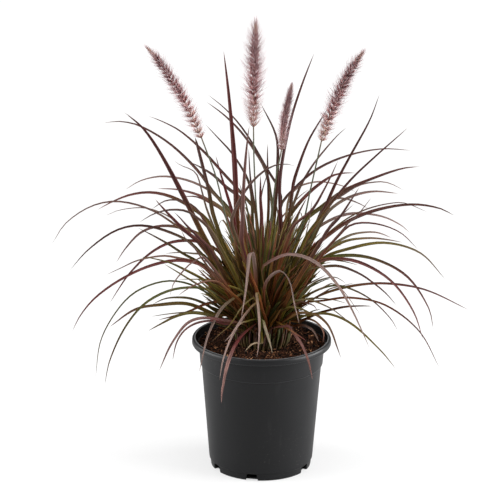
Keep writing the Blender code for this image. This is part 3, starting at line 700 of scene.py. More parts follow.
def add_leaf(gather, path, kind, widest, luck, facing=LEAF_FACING, taper=LEAF_TAPER,
             widest_at=LEAF_WIDEST_AT, light=LEAF_LIGHT):
    """A folded blade with a midrib along a path, its foot sunk into the crown."""
    root = path[0]
    outward = Vector((path[-1].x - root.x, path[-1].y - root.y, 0.0))
    outward = outward.normalized() if outward.length > 0.0 else Vector((1.0, 0.0, 0.0))
    foot = sunk_foot(root, LEAF_FOOT_REACH)
    feet = [foot.lerp(root, k / FOOT_STEPS) for k in range(FOOT_STEPS)]
    places = as_rows(feet + list(path))
    count = len(path) - 1
    share = np.concatenate((np.zeros(FOOT_STEPS), np.arange(count + 1) / count))

    along = unit(np.gradient(places, axis=0))
    level_side = np.array(outward.cross(UP))
    face = unit(np.cross(level_side, along))
    curl = luck.uniform(-LEAF_CURL, LEAF_CURL) + LEAF_WAVE * np.sin(7.0 * share + luck.uniform(0.0, 6.3))
    goals = (facing * facing_turns(face, along) + curl) * smoothstep(0.0, LEAF_TURNED, share)
    turn = np.zeros(len(places))
    most = LEAF_TWIST / count
    for k in range(1, len(places)):
        turn[k] = turn[k - 1] + np.clip(goals[k] - turn[k - 1], -most, most)
    face = face * np.cos(turn)[:, None] + np.cross(along, face) * np.sin(turn)[:, None]
    side = np.cross(along, face)

    rise = smoothstep(0.0, widest_at, share)
    width = (LEAF_ROOT_WIDTH + (widest * MM - LEAF_ROOT_WIDTH) * rise) * (1.0 - share ** 2) ** taper
    width *= 1.0 + 0.04 * np.sin(23.0 * share + luck.uniform(0.0, 6.3))
    fold = LEAF_ROOT_FOLD + (LEAF_FOLD - LEAF_ROOT_FOLD) * smoothstep(0.0, LEAF_OPENED, share)
    thick = BLADE_THICKNESS * (1.0 - 0.6 * share)
    rib = RIB_THICKNESS * (1.0 - 0.9 * share)

    inner = slice(0, len(places) - 1)
    lift = (fold * width)[inner, None] * np.abs(SECTION) ** 1.3
    depth = thick[inner, None] * (1.0 - 0.7 * SECTION ** 2)
    depth = depth + rib[inner, None] * np.exp(-(SECTION / 0.2) ** 2)
    out = lift + (thick[inner, None] / 2.0) - SECTION_UNDER * depth
    rings = (places[inner, None] + side[inner, None] * (width[inner, None] / 2.0 * SECTION)[..., None]
             + face[inner, None] * out[..., None])

    tone, red, pale = KINDS[kind]
    own = np.ones(len(places) + 1)
    steps = np.linalg.norm(np.diff(places, axis=0), axis=1)
    lengths = np.concatenate(([0.0, 0.0], np.cumsum(steps)))
    gather.add(rings[None], places[None, 0], places[None, -1], SECTION_ACROSS, lengths[None],
               share=np.append(share[:1], share)[None],
               tone=(own * (tone + luck.uniform(-0.15, 0.15)))[None],
               red=(own * (red + luck.uniform(-0.15, 0.15)))[None],
               pale=(own * (pale + luck.uniform(-0.06, 0.10)))[None],
               light=(own * luck.uniform(*light))[None],
               chance=(own * luck.random())[None])


def rising_start(places):
    """The way a path leaves its root: between its first run and straight up."""
    return ((places[1] - places[0]).normalized() + UP).normalized()


def traced_path(root, points, tip_depth):
    places = lifted_path(root, points, tip_depth * MM)
    return smooth_path(places, LEAF_RINGS, rising_start(places))


def finish_piece(piece, slot, *nodes):
    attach(piece, "root")
    if nodes:
        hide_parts(*nodes)


def build_leaves(material):
    """A fine leaf for each leaf solid, on the same path."""
    roots = root_places(LEAVES)
    luck = random.Random(LEAF_SEED)
    for name, (kind, widest, tip_depth, points) in LEAVES.items():
        shape = LATE_SHAPE if name.startswith("leaf_front") else {}
        if name in BLUNT_LEAVES:
            shape = BLUNT_SHAPE
        gather = Gather()
        add_leaf(gather, traced_path(roots[name], points, tip_depth), kind, widest, luck, **shape)
        finish_piece(gather.build(name, [material]), "leaf_blade", name)


def build_small_leaves(material):
    luck = random.Random(SMALL_LEAF_SEED)
    for side, leaves in SMALL_LEAVES.items():
        shape = LATE_SHAPE if side == "front" else {}
        gather = Gather()
        for kind, widest, tip_depth, points in leaves:
            tip = from_picture(points[-1], tip_depth * MM)
            bearing = math.atan2(tip.y, tip.x) + luck.uniform(-0.25, 0.25)
            root = crown_place(bearing, luck.uniform(16.0, 42.0) * MM)
            add_leaf(gather, traced_path(root, points, tip_depth), kind, widest, luck, **shape)
        finish_piece(gather.build(f"small_leaves_{side}", [material]), "leaf_blade")


def inside_outline(point, outline):
    crossings = 0
    for (x_low, y_low), (x_high, y_high) in zip(outline, outline[1:] + outline[:1]):
        if (y_low > point[1]) != (y_high > point[1]):
            if point[0] < x_low + (x_high - x_low) * (point[1] - y_low) / (y_high - y_low):
                crossings += 1
    return crossings % 2 == 1


def clears_pot(place):
    """A place that isn't in the potting mix or the pot's rim, with some air to spare."""
    radius = math.hypot(place.x, place.y)
    if radius < LIP_THROAT - RIM_MARGIN:
        return place.z > SOIL_TOP + AIR_OVER_MIX
    if radius < RIM_RADIUS + AIR_OVER_RIM:
        return place.z > POT_HEIGHT + AIR_OVER_RIM
    return place.z > AIR_OVER_FLOOR


def arching_path(root, bearing, length, lean, droop, drift):
    """A blade that leaves the crown at lean from upright and has bent over to droop at its tip."""
    place = root.copy()
    path = [place.copy()]
    step = length / THICKET_RINGS
    for k in range(THICKET_RINGS):
        share = (k + 0.5) / THICKET_RINGS
        angle = lean + (droop - lean) * share ** 1.5
        place += polar(math.sin(angle), bearing + drift * share, math.cos(angle)) * step
        path.append(place.copy())
    return path


def in_thicket(path):
    def fits(place):
        return (place.y > THICKET_FRONT and clears_pot(place)
                and inside_outline(to_picture(place), THICKET_OUTLINE))

    return all(fits(place) for place in path[len(path) // 4:])


def build_thicket(material):
    """The crowded inner leaves, in four pieces by the way they lean. Each grows until it would leave the
    thicket's outline, and stops a little short of that."""
    luck = random.Random(THICKET_SEED)
    gathers = {quarter: Gather() for quarter in ("front", "right", "back", "left")}
    quarters = ("right", "back", "left", "front")
    made = 0
    while made < THICKET_LEAVES:
        bearing = luck.uniform(-math.pi, math.pi)
        slope = luck.random()
        lean = math.radians(3.0 + 62.0 * slope)
        droop = lean + math.radians(luck.uniform(4.0, 42.0))
        root = crown_place(bearing + luck.uniform(-0.4, 0.4), (5.0 + 41.0 * slope ** 0.7) * MM)
        drift = luck.uniform(-0.3, 0.3)
        kind = luck.choice(THICKET_KINDS)
        widest = luck.uniform(3.4, 6.8)
        stop = luck.uniform(0.72, 1.0)

        def grown(length):
            return arching_path(root, bearing, length, lean, droop, drift)

        length = THICKET_SHORTEST
        while length < THICKET_LONGEST and in_thicket(grown(length)):
            length += THICKET_STEP
        length = (length - THICKET_STEP) * stop
        if length < THICKET_SHORTEST:
            continue
        quarter = quarters[round(bearing / (math.pi / 2.0)) % 4]
        add_leaf(gathers[quarter], grown(length), kind, widest, luck, **THICKET_SHAPE)
        made += 1
    for quarter, gather in gathers.items():
        finish_piece(gather.build(f"thicket_{quarter}", [material]), "leaf_blade")


def side_shares(sides):
    """Map values round a body: one for each side, and one more for the way round."""
    return np.arange(sides + 1) / sides


def with_ends(stations, bodies=1):
    """Shares of the way along a body at its root, its rings and its tip, in a row for each body."""
    return np.concatenate(([0.0], stations, [1.0]))[None] * np.ones((bodies, 1))


def circles(side, front, sides):
    """A ring of directions for each pair of crossing ones."""
    turns = 2.0 * math.pi * np.arange(sides) / sides
    return side[:, None] * np.cos(turns)[None, :, None] + front[:, None] * np.sin(turns)[None, :, None]


def tube(path, radii, sides):
    """Rings of points round a path."""
    places = as_rows(path)
    along = unit(np.gradient(places, axis=0))
    side = unit(np.cross(along, (0.0, 1.0, 0.0)))
    return places[:, None] + circles(side, np.cross(side, along), sides) * np.asarray(radii)[:, None, None]


def flower_paths():
    """The stem and plume paths of each flower, from the crown up."""
    paths = {}
    for k, (side, (tip_depth, stem, plume, radius, inner)) in enumerate(FLOWERS.items()):
        root = crown_place(STEM_FIRST_BEARING + STEM_BEARING_STEP * k, STEM_RING)
        places = lifted_path(root, stem + plume, tip_depth * MM)
        neck = len(stem)
        stem_path = smooth_path(places[:neck + 1], STEM_STEPS, rising_start(places))
        paths[side] = (stem_path, smooth_path(places[neck:], PLUME_STEPS), radius * MM, inner * MM)
    return paths


def build_stem(name, path, material):
    """A flower stem: a slim culm with two swollen joints, its foot sunk in the crown."""
    full = [sunk_foot(path[0], STEM_FOOT_REACH)] + path
    share = np.arange(len(full)) / (len(full) - 1)
    radii = STEM_RADIUS * (1.24 - 0.18 * share)
    for joint in STEM_JOINTS:
        radii = radii + JOINT_SWELL * np.exp(-((share - joint) / JOINT_REACH) ** 2)
    rings = tube(full, radii, STEM_SIDES)
    lengths = distances(full)
    gather = Gather()
    gather.add(rings[None], as_rows(full[:1]), as_rows(full[-1:]), side_shares(STEM_SIDES),
               np.array([[0.0] + lengths + lengths[-1:]]), share=with_ends(share))
    finish_piece(gather.build(name, [material]), "flower_stem", name)


def build_plume(name, path, radius, inner, materials, seed):
    """A bottlebrush: whorls of tufts round a slim axis, each a few stalked spikelets in fine bristles."""
    gather = Gather()
    places = as_rows(path)
    along = unit(np.gradient(places, axis=0))
    length = np.linalg.norm(np.diff(places, axis=0), axis=1).sum()
    draws = np.random.RandomState(seed)

    last = int(len(path) * PLUME_TOP)
    axis_share = np.arange(last) / (last - 1)
    axis_rings = tube(path[:last], PLUME_AXIS_RADIUS * (1.0 - 0.8 * axis_share), PLUME_AXIS_SIDES)
    row = with_ends(axis_share)
    gather.add(axis_rings[None], places[None, 0], places[None, last], side_shares(PLUME_AXIS_SIDES),
               row * length, share=row * 0.0, height=row, chance=row * 0.0 + 0.5)

    steps = np.array(WHORL_STEPS) * min(inner / WHORL_FULL_RADIUS, 1.0)
    whorls = int(2.0 * length / steps.sum())
    heights = np.cumsum(np.linspace(*steps, whorls))
    whorl = np.repeat(np.arange(whorls), WHORL_TUFTS)
    count = len(whorl)
    share = (heights[whorl] - heights[0]) / (heights[-1] - heights[0])
    share = np.clip(share + draws.uniform(-0.20, 0.20, count) / whorls, 0.0, 1.0)
    spot = share * PLUME_TOP * (len(path) - 1)
    low = spot.astype(int)
    part = (spot - low)[:, None]
    centre = places[low] * (1.0 - part) + places[low + 1] * part
    axis = unit(along[low] * (1.0 - part) + along[low + 1] * part)
    side = unit(np.cross(axis, (0.0, 1.0, 0.0)))
    front = np.cross(side, axis)
    turn = 2.0 * math.pi / WHORL_TUFTS * (np.arange(count) + 0.5 * (whorl % 2))
    turn = turn + draws.uniform(-0.16, 0.16, count)
    radial = side * np.cos(turn)[:, None] + front * np.sin(turn)[:, None]
    sideways = np.cross(axis, radial)
    full = np.interp(share, *PLUME_OUTLINE)
    reach = inner * SPIKELET_LENGTH * np.interp(share, *SPIKELET_REACH)
    tilt = np.arcsin(np.clip(inner * full / reach, 0.05, 0.95))

    def tufts(each, spread, narrowest, widest, shares_kept):
        """Tuft, base and heading of the grains or hairs on every tuft, thinned out along the plume."""
        many = np.repeat(np.arange(count), each)
        lean = tilt[many] * draws.uniform(narrowest, widest, len(many))
        outward = unit(radial[many] + sideways[many] * draws.normal(0.0, spread, len(many))[:, None])
        heading = axis[many] * np.cos(lean)[:, None] + outward * np.sin(lean)[:, None]
        base = centre[many] + outward * 0.5 * MM
        kept = draws.uniform(0.0, 1.0, len(many)) < np.interp(share[many], *shares_kept)
        return many[kept], base[kept], heading[kept]

    many, base, heading = tufts(TUFT_SPIKELETS, 0.12, 0.84, 1.12, SPIKELETS_KEPT)
    size = reach[many] * draws.uniform(0.72, 1.06, len(many))
    add_spikelets(gather, base, heading, size, share[many], draws)

    many, base, heading = tufts(TUFT_BRISTLES, 0.34, 0.60, 1.45, BRISTLES_KEPT)
    luck = 0.65 * draws.uniform(0.0, 1.0, count)[many] + 0.35 * draws.uniform(0.0, 1.0, len(many))
    size = 0.4 + 2.4 * draws.uniform(0.0, 1.0, len(many)) ** 1.5
    size = 0.85 * inner + (radius - inner) * size
    size *= np.interp(share[many], *BRISTLE_REACH)
    add_bristles(gather, base, heading, axis[many], size, share[many], luck, draws)

    finish_piece(gather.build(name, materials), "plume_bristle", name)


def cross_frame(heading):
    side = unit(np.cross(heading, (0.31, 0.22, 0.93)))
    return side, np.cross(heading, side)


def add_spikelets(gather, base, heading, size, height, draws):
    """Slim pointed grains, one for each base point."""
    side, front = cross_frame(heading)
    stations = np.array((0.10, 0.40, 0.68, 0.90))
    girth = np.array((0.36, 0.72, 1.0, 0.50)) * SPIKELET_GIRTH
    circle = circles(side, front * 0.7, SPIKELET_SIDES)
    middle = base[:, None] + heading[:, None] * (size[:, None] * stations)[..., None]
    rings = middle[:, :, None] + circle[:, None] * girth[None, :, None, None]
    row = with_ends(stations, len(base))
    gather.add(rings, base, base + heading * size[:, None], side_shares(SPIKELET_SIDES), row, kind=1,
               share=row, height=row * 0.0 + height[:, None],
               chance=row * 0.0 + draws.uniform(0.0, 1.0, len(base))[:, None])


def add_bristles(gather, base, heading, axis, size, height, luck, draws):
    """Hair-fine tapering bristles that bend a little towards the plume's tip."""
    stations = np.array((0.04, 0.36, 0.7))
    side, front = cross_frame(heading)
    circle = circles(side, front, BRISTLE_SIDES)
    bend = axis * (draws.uniform(0.0, 0.25, len(base)) * size)[:, None]
    middle = (base[:, None] + heading[:, None] * (size[:, None] * stations)[..., None]
              + bend[:, None] * (stations ** 2)[None, :, None])
    girth = np.array((1.05, 0.95, 0.70)) * BRISTLE_GIRTH
    rings = middle[:, :, None] + circle[:, None] * girth[None, :, None, None]
    row = with_ends(stations, len(base))
    gather.add(rings, base, base + heading * size[:, None] + bend, side_shares(BRISTLE_SIDES), row, kind=2,
               share=row, height=row * 0.0 + height[:, None], chance=row * 0.0 + luck[:, None])


def rounded(corners, steps=4):
    """An outline with each corner turned in a small curve: corners are (radius, height, rounding)."""
    outline = []
    for k, (r, z, rounding) in enumerate(corners):
        here = Vector((r, z))
        if rounding == 0.0 or k in (0, len(corners) - 1):
            outline.append(here)
            continue
        before, after = Vector(corners[k - 1][:2]), Vector(corners[k + 1][:2])
        start = here + (before - here).normalized() * min(rounding, (before - here).length * 0.45)
        end = here + (after - here).normalized() * min(rounding, (after - here).length * 0.45)
        for step in range(steps + 1):
            s = step / steps
            outline.append(start * (1 - s) ** 2 + here * 2 * s * (1 - s) + end * s ** 2)
    return outline


def turned_rings(outline, sides):
    turns = 2.0 * math.pi * np.arange(sides) / sides
    radii = np.array([point[0] for point in outline])
    heights = np.array([point[1] for point in outline])
    return np.stack((radii[:, None] * np.cos(turns), radii[:, None] * np.sin(turns),
                     np.repeat(heights[:, None], sides, axis=1)), axis=2)


def add_turned(gather, outline, sides):
    """A turned body: its outline starts and ends on the axis."""
    rings = turned_rings(outline[1:-1], sides)
    ends = [np.array([[0.0, 0.0, point[1]]]) for point in (outline[0], outline[-1])]
    gather.add(rings[None], ends[0], ends[1], side_shares(sides), np.array([distances(outline)]))


def build_pot(materials):
    # Radius, height and rounding of each corner, from under the pot over its lip and down inside
    corners = [(0.0, 1.2 * MM, 0.0),
               (FOOT_RADIUS - 16.0 * MM, 1.2 * MM, 1.0 * MM),
               (FOOT_RADIUS - 14.0 * MM, 0.0, 1.0 * MM),
               (FOOT_RADIUS, 0.0, 1.3 * MM),
               (FOOT_RADIUS + 1.2 * MM, FOOT_HEIGHT - 0.4 * MM, 0.5 * MM),
               (BODY_RADIUS_LOW, FOOT_HEIGHT + 0.6 * MM, 0.9 * MM),
               (BODY_RADIUS_HIGH, BAND_FOOT, 0.6 * MM),
               (BAND_RADIUS, BAND_FOOT + 1.9 * MM, 1.0 * MM),
               (NECK_RADIUS, NECK_HEIGHT, 1.6 * MM),
               (NECK_RADIUS, LIP_FOOT, 0.8 * MM),
               (RIM_RADIUS - 0.2 * MM, LIP_FOOT, 3.0 * MM),
               (RIM_RADIUS - 0.4 * MM, POT_HEIGHT - 3.2 * MM, 1.2 * MM),
               (RIM_RADIUS - 1.6 * MM, POT_HEIGHT - 0.4 * MM, 1.6 * MM),
               (LIP_THROAT + 2.2 * MM, POT_HEIGHT - 0.5 * MM, 0.5 * MM),
               (LIP_THROAT + 1.8 * MM, POT_HEIGHT, 0.4 * MM),
               (LIP_THROAT + 0.3 * MM, POT_HEIGHT, 0.7 * MM),
               (LIP_SLOPE_RADIUS, LIP_SLOPE_HEIGHT, 1.2 * MM),
               (THROAT_RADIUS, THROAT_HEIGHT, 1.0 * MM),
               (BODY_RADIUS_HIGH - WALL, BAND_FOOT, 0.8 * MM),
               (BODY_RADIUS_LOW - WALL, FOOT_HEIGHT + 1.6 * MM, 0.8 * MM),
               (FOOT_RADIUS - 0.6 * MM, FOOT_HEIGHT, 0.5 * MM),
               (FOOT_RADIUS - 2.4 * MM, FLOOR, 0.8 * MM),
               (0.0, FLOOR, 0.0)]
    gather = Gather()
    add_turned(gather, rounded(corners), POT_SIDES)
    pot = gather.build("pot", materials)
    cutters = [notch_cutter(math.radians(degrees)) for degrees in NOTCH_BEARINGS]
    for cutter in cutters:
        cut = pot.modifiers.new("notch", "BOOLEAN")
        cut.operation = "DIFFERENCE"
        cut.object = cutter
    dig = bpy.context.evaluated_depsgraph_get()
    mesh = bpy.data.meshes.new_from_object(pot.evaluated_get(dig))
    pot.modifiers.clear()
    pot.data = mesh
    mesh.shade_smooth()
    mesh.set_sharp_from_angle(angle=SHARP_ANGLE)
    # The inner wall up to the lip takes the second material, which paints it dark as shade
    for face in mesh.polygons:
        inwards = face.normal.x * face.center.x + face.normal.y * face.center.y < 0.0
        if inwards and face.center.z > FLOOR and face.center.xy.length < LIP_THROAT + 0.2 * MM:
            face.material_index = 1
    for cutter in cutters:
        bpy.data.objects.remove(cutter, do_unlink=True)
    finish_piece(pot, "pot_plastic", "pot")


def notch_cutter(bearing):
    """A round-shouldered block, narrower at its top, where a drain notch goes."""
    low, high = NOTCH_WIDTH / 2.0, NOTCH_TOP_WIDTH / 2.0
    outline = [(-low, -NOTCH_MARGIN)]
    for centre_y, first in ((-high + NOTCH_ROUNDING, 180.0), (high - NOTCH_ROUNDING, 90.0)):
        for step in range(7):
            angle = math.radians(first - 15.0 * step)
            outline.append((centre_y + NOTCH_ROUNDING * math.cos(angle),
                            NOTCH_HEIGHT - NOTCH_ROUNDING + NOTCH_ROUNDING * math.sin(angle)))
    outline.append((low, -NOTCH_MARGIN))
    ends = (FOOT_RADIUS - NOTCH_REACH, FOOT_RADIUS + NOTCH_SPARE)
    rings = np.array([[(x, y, z) for y, z in outline] for x in ends])
    turn = np.array(Matrix.Rotation(bearing, 3, "Z"))
    rings = rings @ turn.T
    gather = Gather()
    gather.add(rings[None], rings[None, 0].mean(axis=1), rings[None, 1].mean(axis=1),
               side_shares(len(outline)), np.zeros((1, 4)))
    return gather.build("notch_cutter", [])


def build_soil(material):
    """The potting mix: the CAD solid's sides and mound, with a fine uneven top."""
    side = [Vector((SOIL_FOOT_RADIUS, FLOOR + SOIL_GAP)),
            Vector((BODY_RADIUS_LOW - WALL - SOIL_GAP, FOOT_HEIGHT + 1.6 * MM)),
            Vector((BODY_RADIUS_HIGH - WALL - SOIL_GAP, BAND_FOOT)),
            Vector((THROAT_RADIUS - 2.0 * SOIL_GAP, THROAT_HEIGHT))]
    tops = [Vector((SOIL_EDGE_RADIUS * (1.0 - k / SOIL_ROWS), 0.0)) for k in range(SOIL_ROWS)]
    rings = turned_rings(side + tops, SOIL_SIDES)
    for ring in rings[len(side):]:
        for point in ring:
            place = Vector((point[0], point[1], 0.0))
            grain = sum(height * noise.noise(place * fineness) for height, fineness in SOIL_GRAIN)
            point[2] = soil_height(point[0], point[1]) + grain - SOIL_SETTLED
    gather = Gather()
    first = np.array([[0.0, 0.0, FLOOR + SOIL_GAP]])
    last = np.array([[0.0, 0.0, SOIL_TOP]])
    gather.add(rings[None], first, last, side_shares(SOIL_SIDES), np.zeros((1, len(rings) + 2)))
    finish_piece(gather.build("potting_mix", [material]), "potting_mix", "potting_mix")


def build_bits(name, count, smallest, largest, seed, material):
    """Bark chips or crumbs, half sunk in the mix, of lengths in mm."""
    draws = np.random.RandomState(seed)
    radius = (SOIL_EDGE_RADIUS - 2.0 * MM) * np.sqrt(draws.uniform(0.12, 1.0, count))
    bearing = draws.uniform(-math.pi, math.pi, count)
    size = (smallest + (largest - smallest) * draws.uniform(0.0, 1.0, count) ** 2.2) * MM
    x, y = radius * np.cos(bearing), radius * np.sin(bearing)
    z = np.array([soil_height(a, b) for a, b in zip(x, y)]) + size * draws.uniform(-0.05, 0.30, count)
    place = np.stack((x, y, z), axis=1)
    axis = unit(draws.normal(0.0, 1.0, (count, 3)) * (1.0, 1.0, 0.45))
    side, front = cross_frame(axis)
    sides = 6
    circle = circles(side, front * draws.uniform(0.35, 0.8, count)[:, None], sides)
    stations = np.array((-0.62, 0.05, 0.66))
    girth = np.array((0.30, 0.46, 0.27))[None, :, None] * draws.uniform(0.75, 1.2, (count, 3, sides))
    middle = place[:, None] + axis[:, None] * (size[:, None] * stations)[..., None]
    rings = middle[:, :, None] + circle[:, None] * (girth * size[:, None, None])[..., None]
    row = np.ones((count, len(stations) + 2))
    gather = Gather()
    gather.add(rings, place - axis * size[:, None] * 0.8, place + axis * size[:, None] * 0.85,
               side_shares(sides), row * 0.0, chance=row * draws.uniform(0.0, 1.0, count)[:, None])
    piece = gather.build(name, [material])
    piece.data.set_sharp_from_angle(angle=BARK_SHARP_ANGLE)
    finish_piece(piece, "potting_mix")


def build_crown(material):
    """The tussock's foot: many short sheathed shoots, packed and leaning outwards."""
    draws = np.random.RandomState(CROWN_SEED)
    share = np.arange(SHOOT_RINGS) / (SHOOT_RINGS - 1)
    bodies, firsts, lasts = [], [], []
    for k in range(SHOOTS):
        radius = SHOOT_SPREAD * math.sqrt((k + 0.5) / SHOOTS)
        bearing = k * SHOOT_TURN + draws.uniform(-0.2, 0.2)
        lean = math.radians(4.0 + 30.0 * radius / CROWN_RADIUS)
        top = crown_surface(radius) * draws.uniform(0.86, 1.06) + 5.0 * MM
        foot = polar(radius * 0.86, bearing, -3.0 * MM)
        head = polar(radius * 1.02, bearing + 0.08, top)
        bow = polar(math.sin(lean) * 3.0 * MM, bearing, 0.0)
        path = [CROWN_CENTRE + foot.lerp(head, s) + bow * math.sin(math.pi * s) for s in share.tolist()]
        girth = draws.uniform(1.7, 2.9) * MM
        radii = girth * (1.0 - 0.50 * share + 0.10 * np.sin(9.0 * share + k))
        bodies.append(tube(path, radii, SHOOT_SIDES))
        firsts.append(path[0])
        lasts.append(path[-1] + (path[-1] - path[-2]) * 0.8)
    row = with_ends(share, SHOOTS)
    gather = Gather()
    gather.add(np.array(bodies), as_rows(firsts), as_rows(lasts), side_shares(SHOOT_SIDES), row * 0.04,
               share=row, chance=row * 0.0 + draws.uniform(0.0, 1.0, SHOOTS)[:, None])
    finish_piece(gather.build("crown", [material]), "leaf_sheath", "crown")


class Finish:
    """A Principled material put together from small procedural nodes."""

    def __init__(self, name, roughness, specular=0.5):
        self.material = bpy.data.materials.new(name)
        self.material.use_nodes = True
        self.tree = self.material.node_tree
        self.surface = self.tree.nodes["Principled BSDF"]
        self.surface.inputs["Roughness"].default_value = roughness
        self.surface.inputs["Specular IOR Level"].default_value = specular

    def node(self, kind, wiring, output=0, **settings):
        made = self.tree.nodes.new(kind)
        for name, value in settings.items():
            setattr(made, name, value)
        for name, value in wiring.items():
            self.wire(made.inputs[name], value)
        return made.outputs[output]

    def wire(self, socket, value):
        if isinstance(value, bpy.types.NodeSocket):
            self.tree.links.new(value, socket)
        else:
            socket.default_value = value

    def value(self, name):
        return self.node("ShaderNodeAttribute", {}, output=2, attribute_name=name)

    def maths(self, operation, first, second=0.0):
        return self.node("ShaderNodeMath", {0: first, 1: second}, operation=operation)

    def step(self, value, low, high, bottom=0.0, top=1.0):
        wiring = {0: value, 1: low, 2: high, 3: bottom, 4: top}
        return self.node("ShaderNodeMapRange", wiring, interpolation_type="SMOOTHSTEP")

    def mix(self, share, low, high, blend="MIX"):
        wiring = {0: share, 6: as_colour(low), 7: as_colour(high)}
        return self.node("ShaderNodeMix", wiring, output=2, data_type="RGBA", blend_type=blend)

    def grain(self, scale, detail=3.0, place=None, stretch=None):
        """Noise from 0 to 1, by place in the object or by a map, stretched if asked."""
        place = place or self.node("ShaderNodeTexCoord", {}, output=3)
        if stretch:
            place = self.node("ShaderNodeVectorMath", {0: place, 1: stretch}, operation="MULTIPLY")
        return self.node("ShaderNodeTexNoise", {"Vector": place, "Scale": scale, "Detail": detail})

    def bump(self, height, distance, strength=1.0):
        wiring = {"Height": height, "Distance": distance, "Strength": strength}
        self.wire(self.surface.inputs["Normal"], self.node("ShaderNodeBump", wiring))

    def colour(self, value, *shades):
        """The base colour, times each shade."""
        if shades:
            shade = shades[0]
            for other in shades[1:]:
                shade = self.maths("MULTIPLY", shade, other)
            value = self.mix(1.0, value, shade, "MULTIPLY")
        self.wire(self.surface.inputs["Base Color"], value)

    def rough(self, value):
        self.wire(self.surface.inputs["Roughness"], value)


def as_colour(value):
    return (*value, 1.0) if isinstance(value, tuple) else value


# Leaf colours
OLIVE = (0.122, 0.088, 0.008)
GREEN = (0.074, 0.078, 0.011)
PLUM = (0.074, 0.024, 0.018)
WINE = (0.112, 0.017, 0.018)
RUST = (0.145, 0.040, 0.008)
# Grey-tan of dry leaf, also the colour of the painted sheen on arching blades
DRY_AND_SHEEN = (0.290, 0.215, 0.185)


def leaf_material():
    """Purple blades with olive, green or rusty bases, fine long veins, a paler midrib and dry tips, with
    painted
    light: a highlight on the midrib, shade near the crown and a sheen where a blade arches over.
    """
    leaf = Finish("leaf_blade", 0.46, 0.14)
    share, tone, chance = leaf.value("share"), leaf.value("tone"), leaf.value("chance")
    blade = leaf.node("ShaderNodeUVMap", {}, uv_map="blade")
    offset = leaf.node("ShaderNodeCombineXYZ", {"Z": leaf.maths("MULTIPLY", chance, 17.0)})
    place = leaf.node("ShaderNodeVectorMath", {0: blade, 1: offset}, operation="ADD")
    blotch = leaf.grain(1.0, 3.0, place, (3.0, 34.0, 1.0))
    vein = leaf.grain(1.0, 2.0, place, (26.0, 5.0, 1.0))
    across = leaf.node("ShaderNodeSeparateXYZ", {0: blade})
    distance = leaf.node("ShaderNodeSeparateXYZ", {0: blade}, output=1)

    start = leaf.step(tone, 0.0, 2.0, 0.31, 0.01)
    start = leaf.maths("SUBTRACT", start, leaf.maths("MULTIPLY", blotch, 0.08))
    purple = leaf.step(distance, start, leaf.maths("ADD", start, 0.15))
    low = leaf.mix(leaf.step(chance, 0.20, 0.32), GREEN, OLIVE)
    low = leaf.mix(leaf.step(chance, 0.70, 0.82), low, RUST)
    low = leaf.mix(leaf.step(leaf.value("red"), 0.3, 0.9, 0.0, 0.6), low, RUST)
    high = leaf.mix(leaf.value("red"), PLUM, WINE)
    high = leaf.mix(leaf.step(tone, 0.2, 0.7, 0.40, 0.0), high, OLIVE)
    body = leaf.mix(purple, low, high)
    # Past the blade's middle, pale mixes in grey-tan: partly dryness, partly a painted sheen where the
    # blade arches over
    body = leaf.mix(leaf.maths("MULTIPLY", leaf.value("pale"), leaf.step(share, 0.34, 0.58)), body, DRY_AND_SHEEN)

    # The paler midrib is partly the rib's own colour and partly a painted highlight along it
    from_rib = leaf.maths("ABSOLUTE", leaf.maths("SUBTRACT", across, 0.5))
    rib = leaf.step(from_rib, 0.015, 0.06, 0.28, 0.0)
    body = leaf.mix(rib, body, (0.19, 0.13, 0.09))
    body = leaf.mix(leaf.step(share, 0.94, 1.0, 0.0, 0.35), body, DRY_AND_SHEEN)
    # Painted shade: every blade is darker over its first few centimetres from the crown, where the leaves
    # crowd
    leaf.colour(body, leaf.step(vein, 0.3, 0.7, 0.40, 1.52), leaf.step(blotch, 0.3, 0.7, 0.70, 1.24),
                leaf.value("light"), leaf.step(distance, 0.03, 0.16, 0.62, 1.0))
    leaf.rough(leaf.step(blotch, 0.3, 0.7, 0.40, 0.54))
    leaf.bump(vein, 0.08 * MM, 0.6)
    return leaf.material


def sheath_material():
    sheath = Finish("leaf_sheath", 0.62, 0.3)
    share, chance = sheath.value("share"), sheath.value("chance")
    streak = sheath.grain(1.0, 3.0, None, (900.0, 900.0, 60.0))
    low = sheath.mix(sheath.step(chance, 0.2, 0.8), (0.040, 0.022, 0.010), (0.105, 0.072, 0.024))
    high = sheath.mix(sheath.step(chance, 0.3, 0.7), (0.052, 0.054, 0.011), (0.062, 0.022, 0.014))
    body = sheath.mix(sheath.step(share, 0.1, 0.7), low, high)
    sheath.colour(body, sheath.step(streak, 0.3, 0.7, 0.6, 1.3))
    sheath.bump(streak, 0.2 * MM, 0.6)
    return sheath.material


def stem_material():
    stem = Finish("flower_stem", 0.40, 0.4)
    share = stem.value("share")
    streak = stem.grain(1.0, 2.0, None, (1200.0, 1200.0, 40.0))
    low = stem.mix(stem.step(share, 0.15, 0.75), (0.040, 0.050, 0.014), (0.056, 0.060, 0.028))
    body = stem.mix(stem.step(share, 0.92, 1.0), low, (0.115, 0.090, 0.060))
    stem.colour(body, stem.step(streak, 0.3, 0.7, 0.78, 1.18))
    stem.bump(streak, 0.06 * MM, 0.5)
    return stem.material


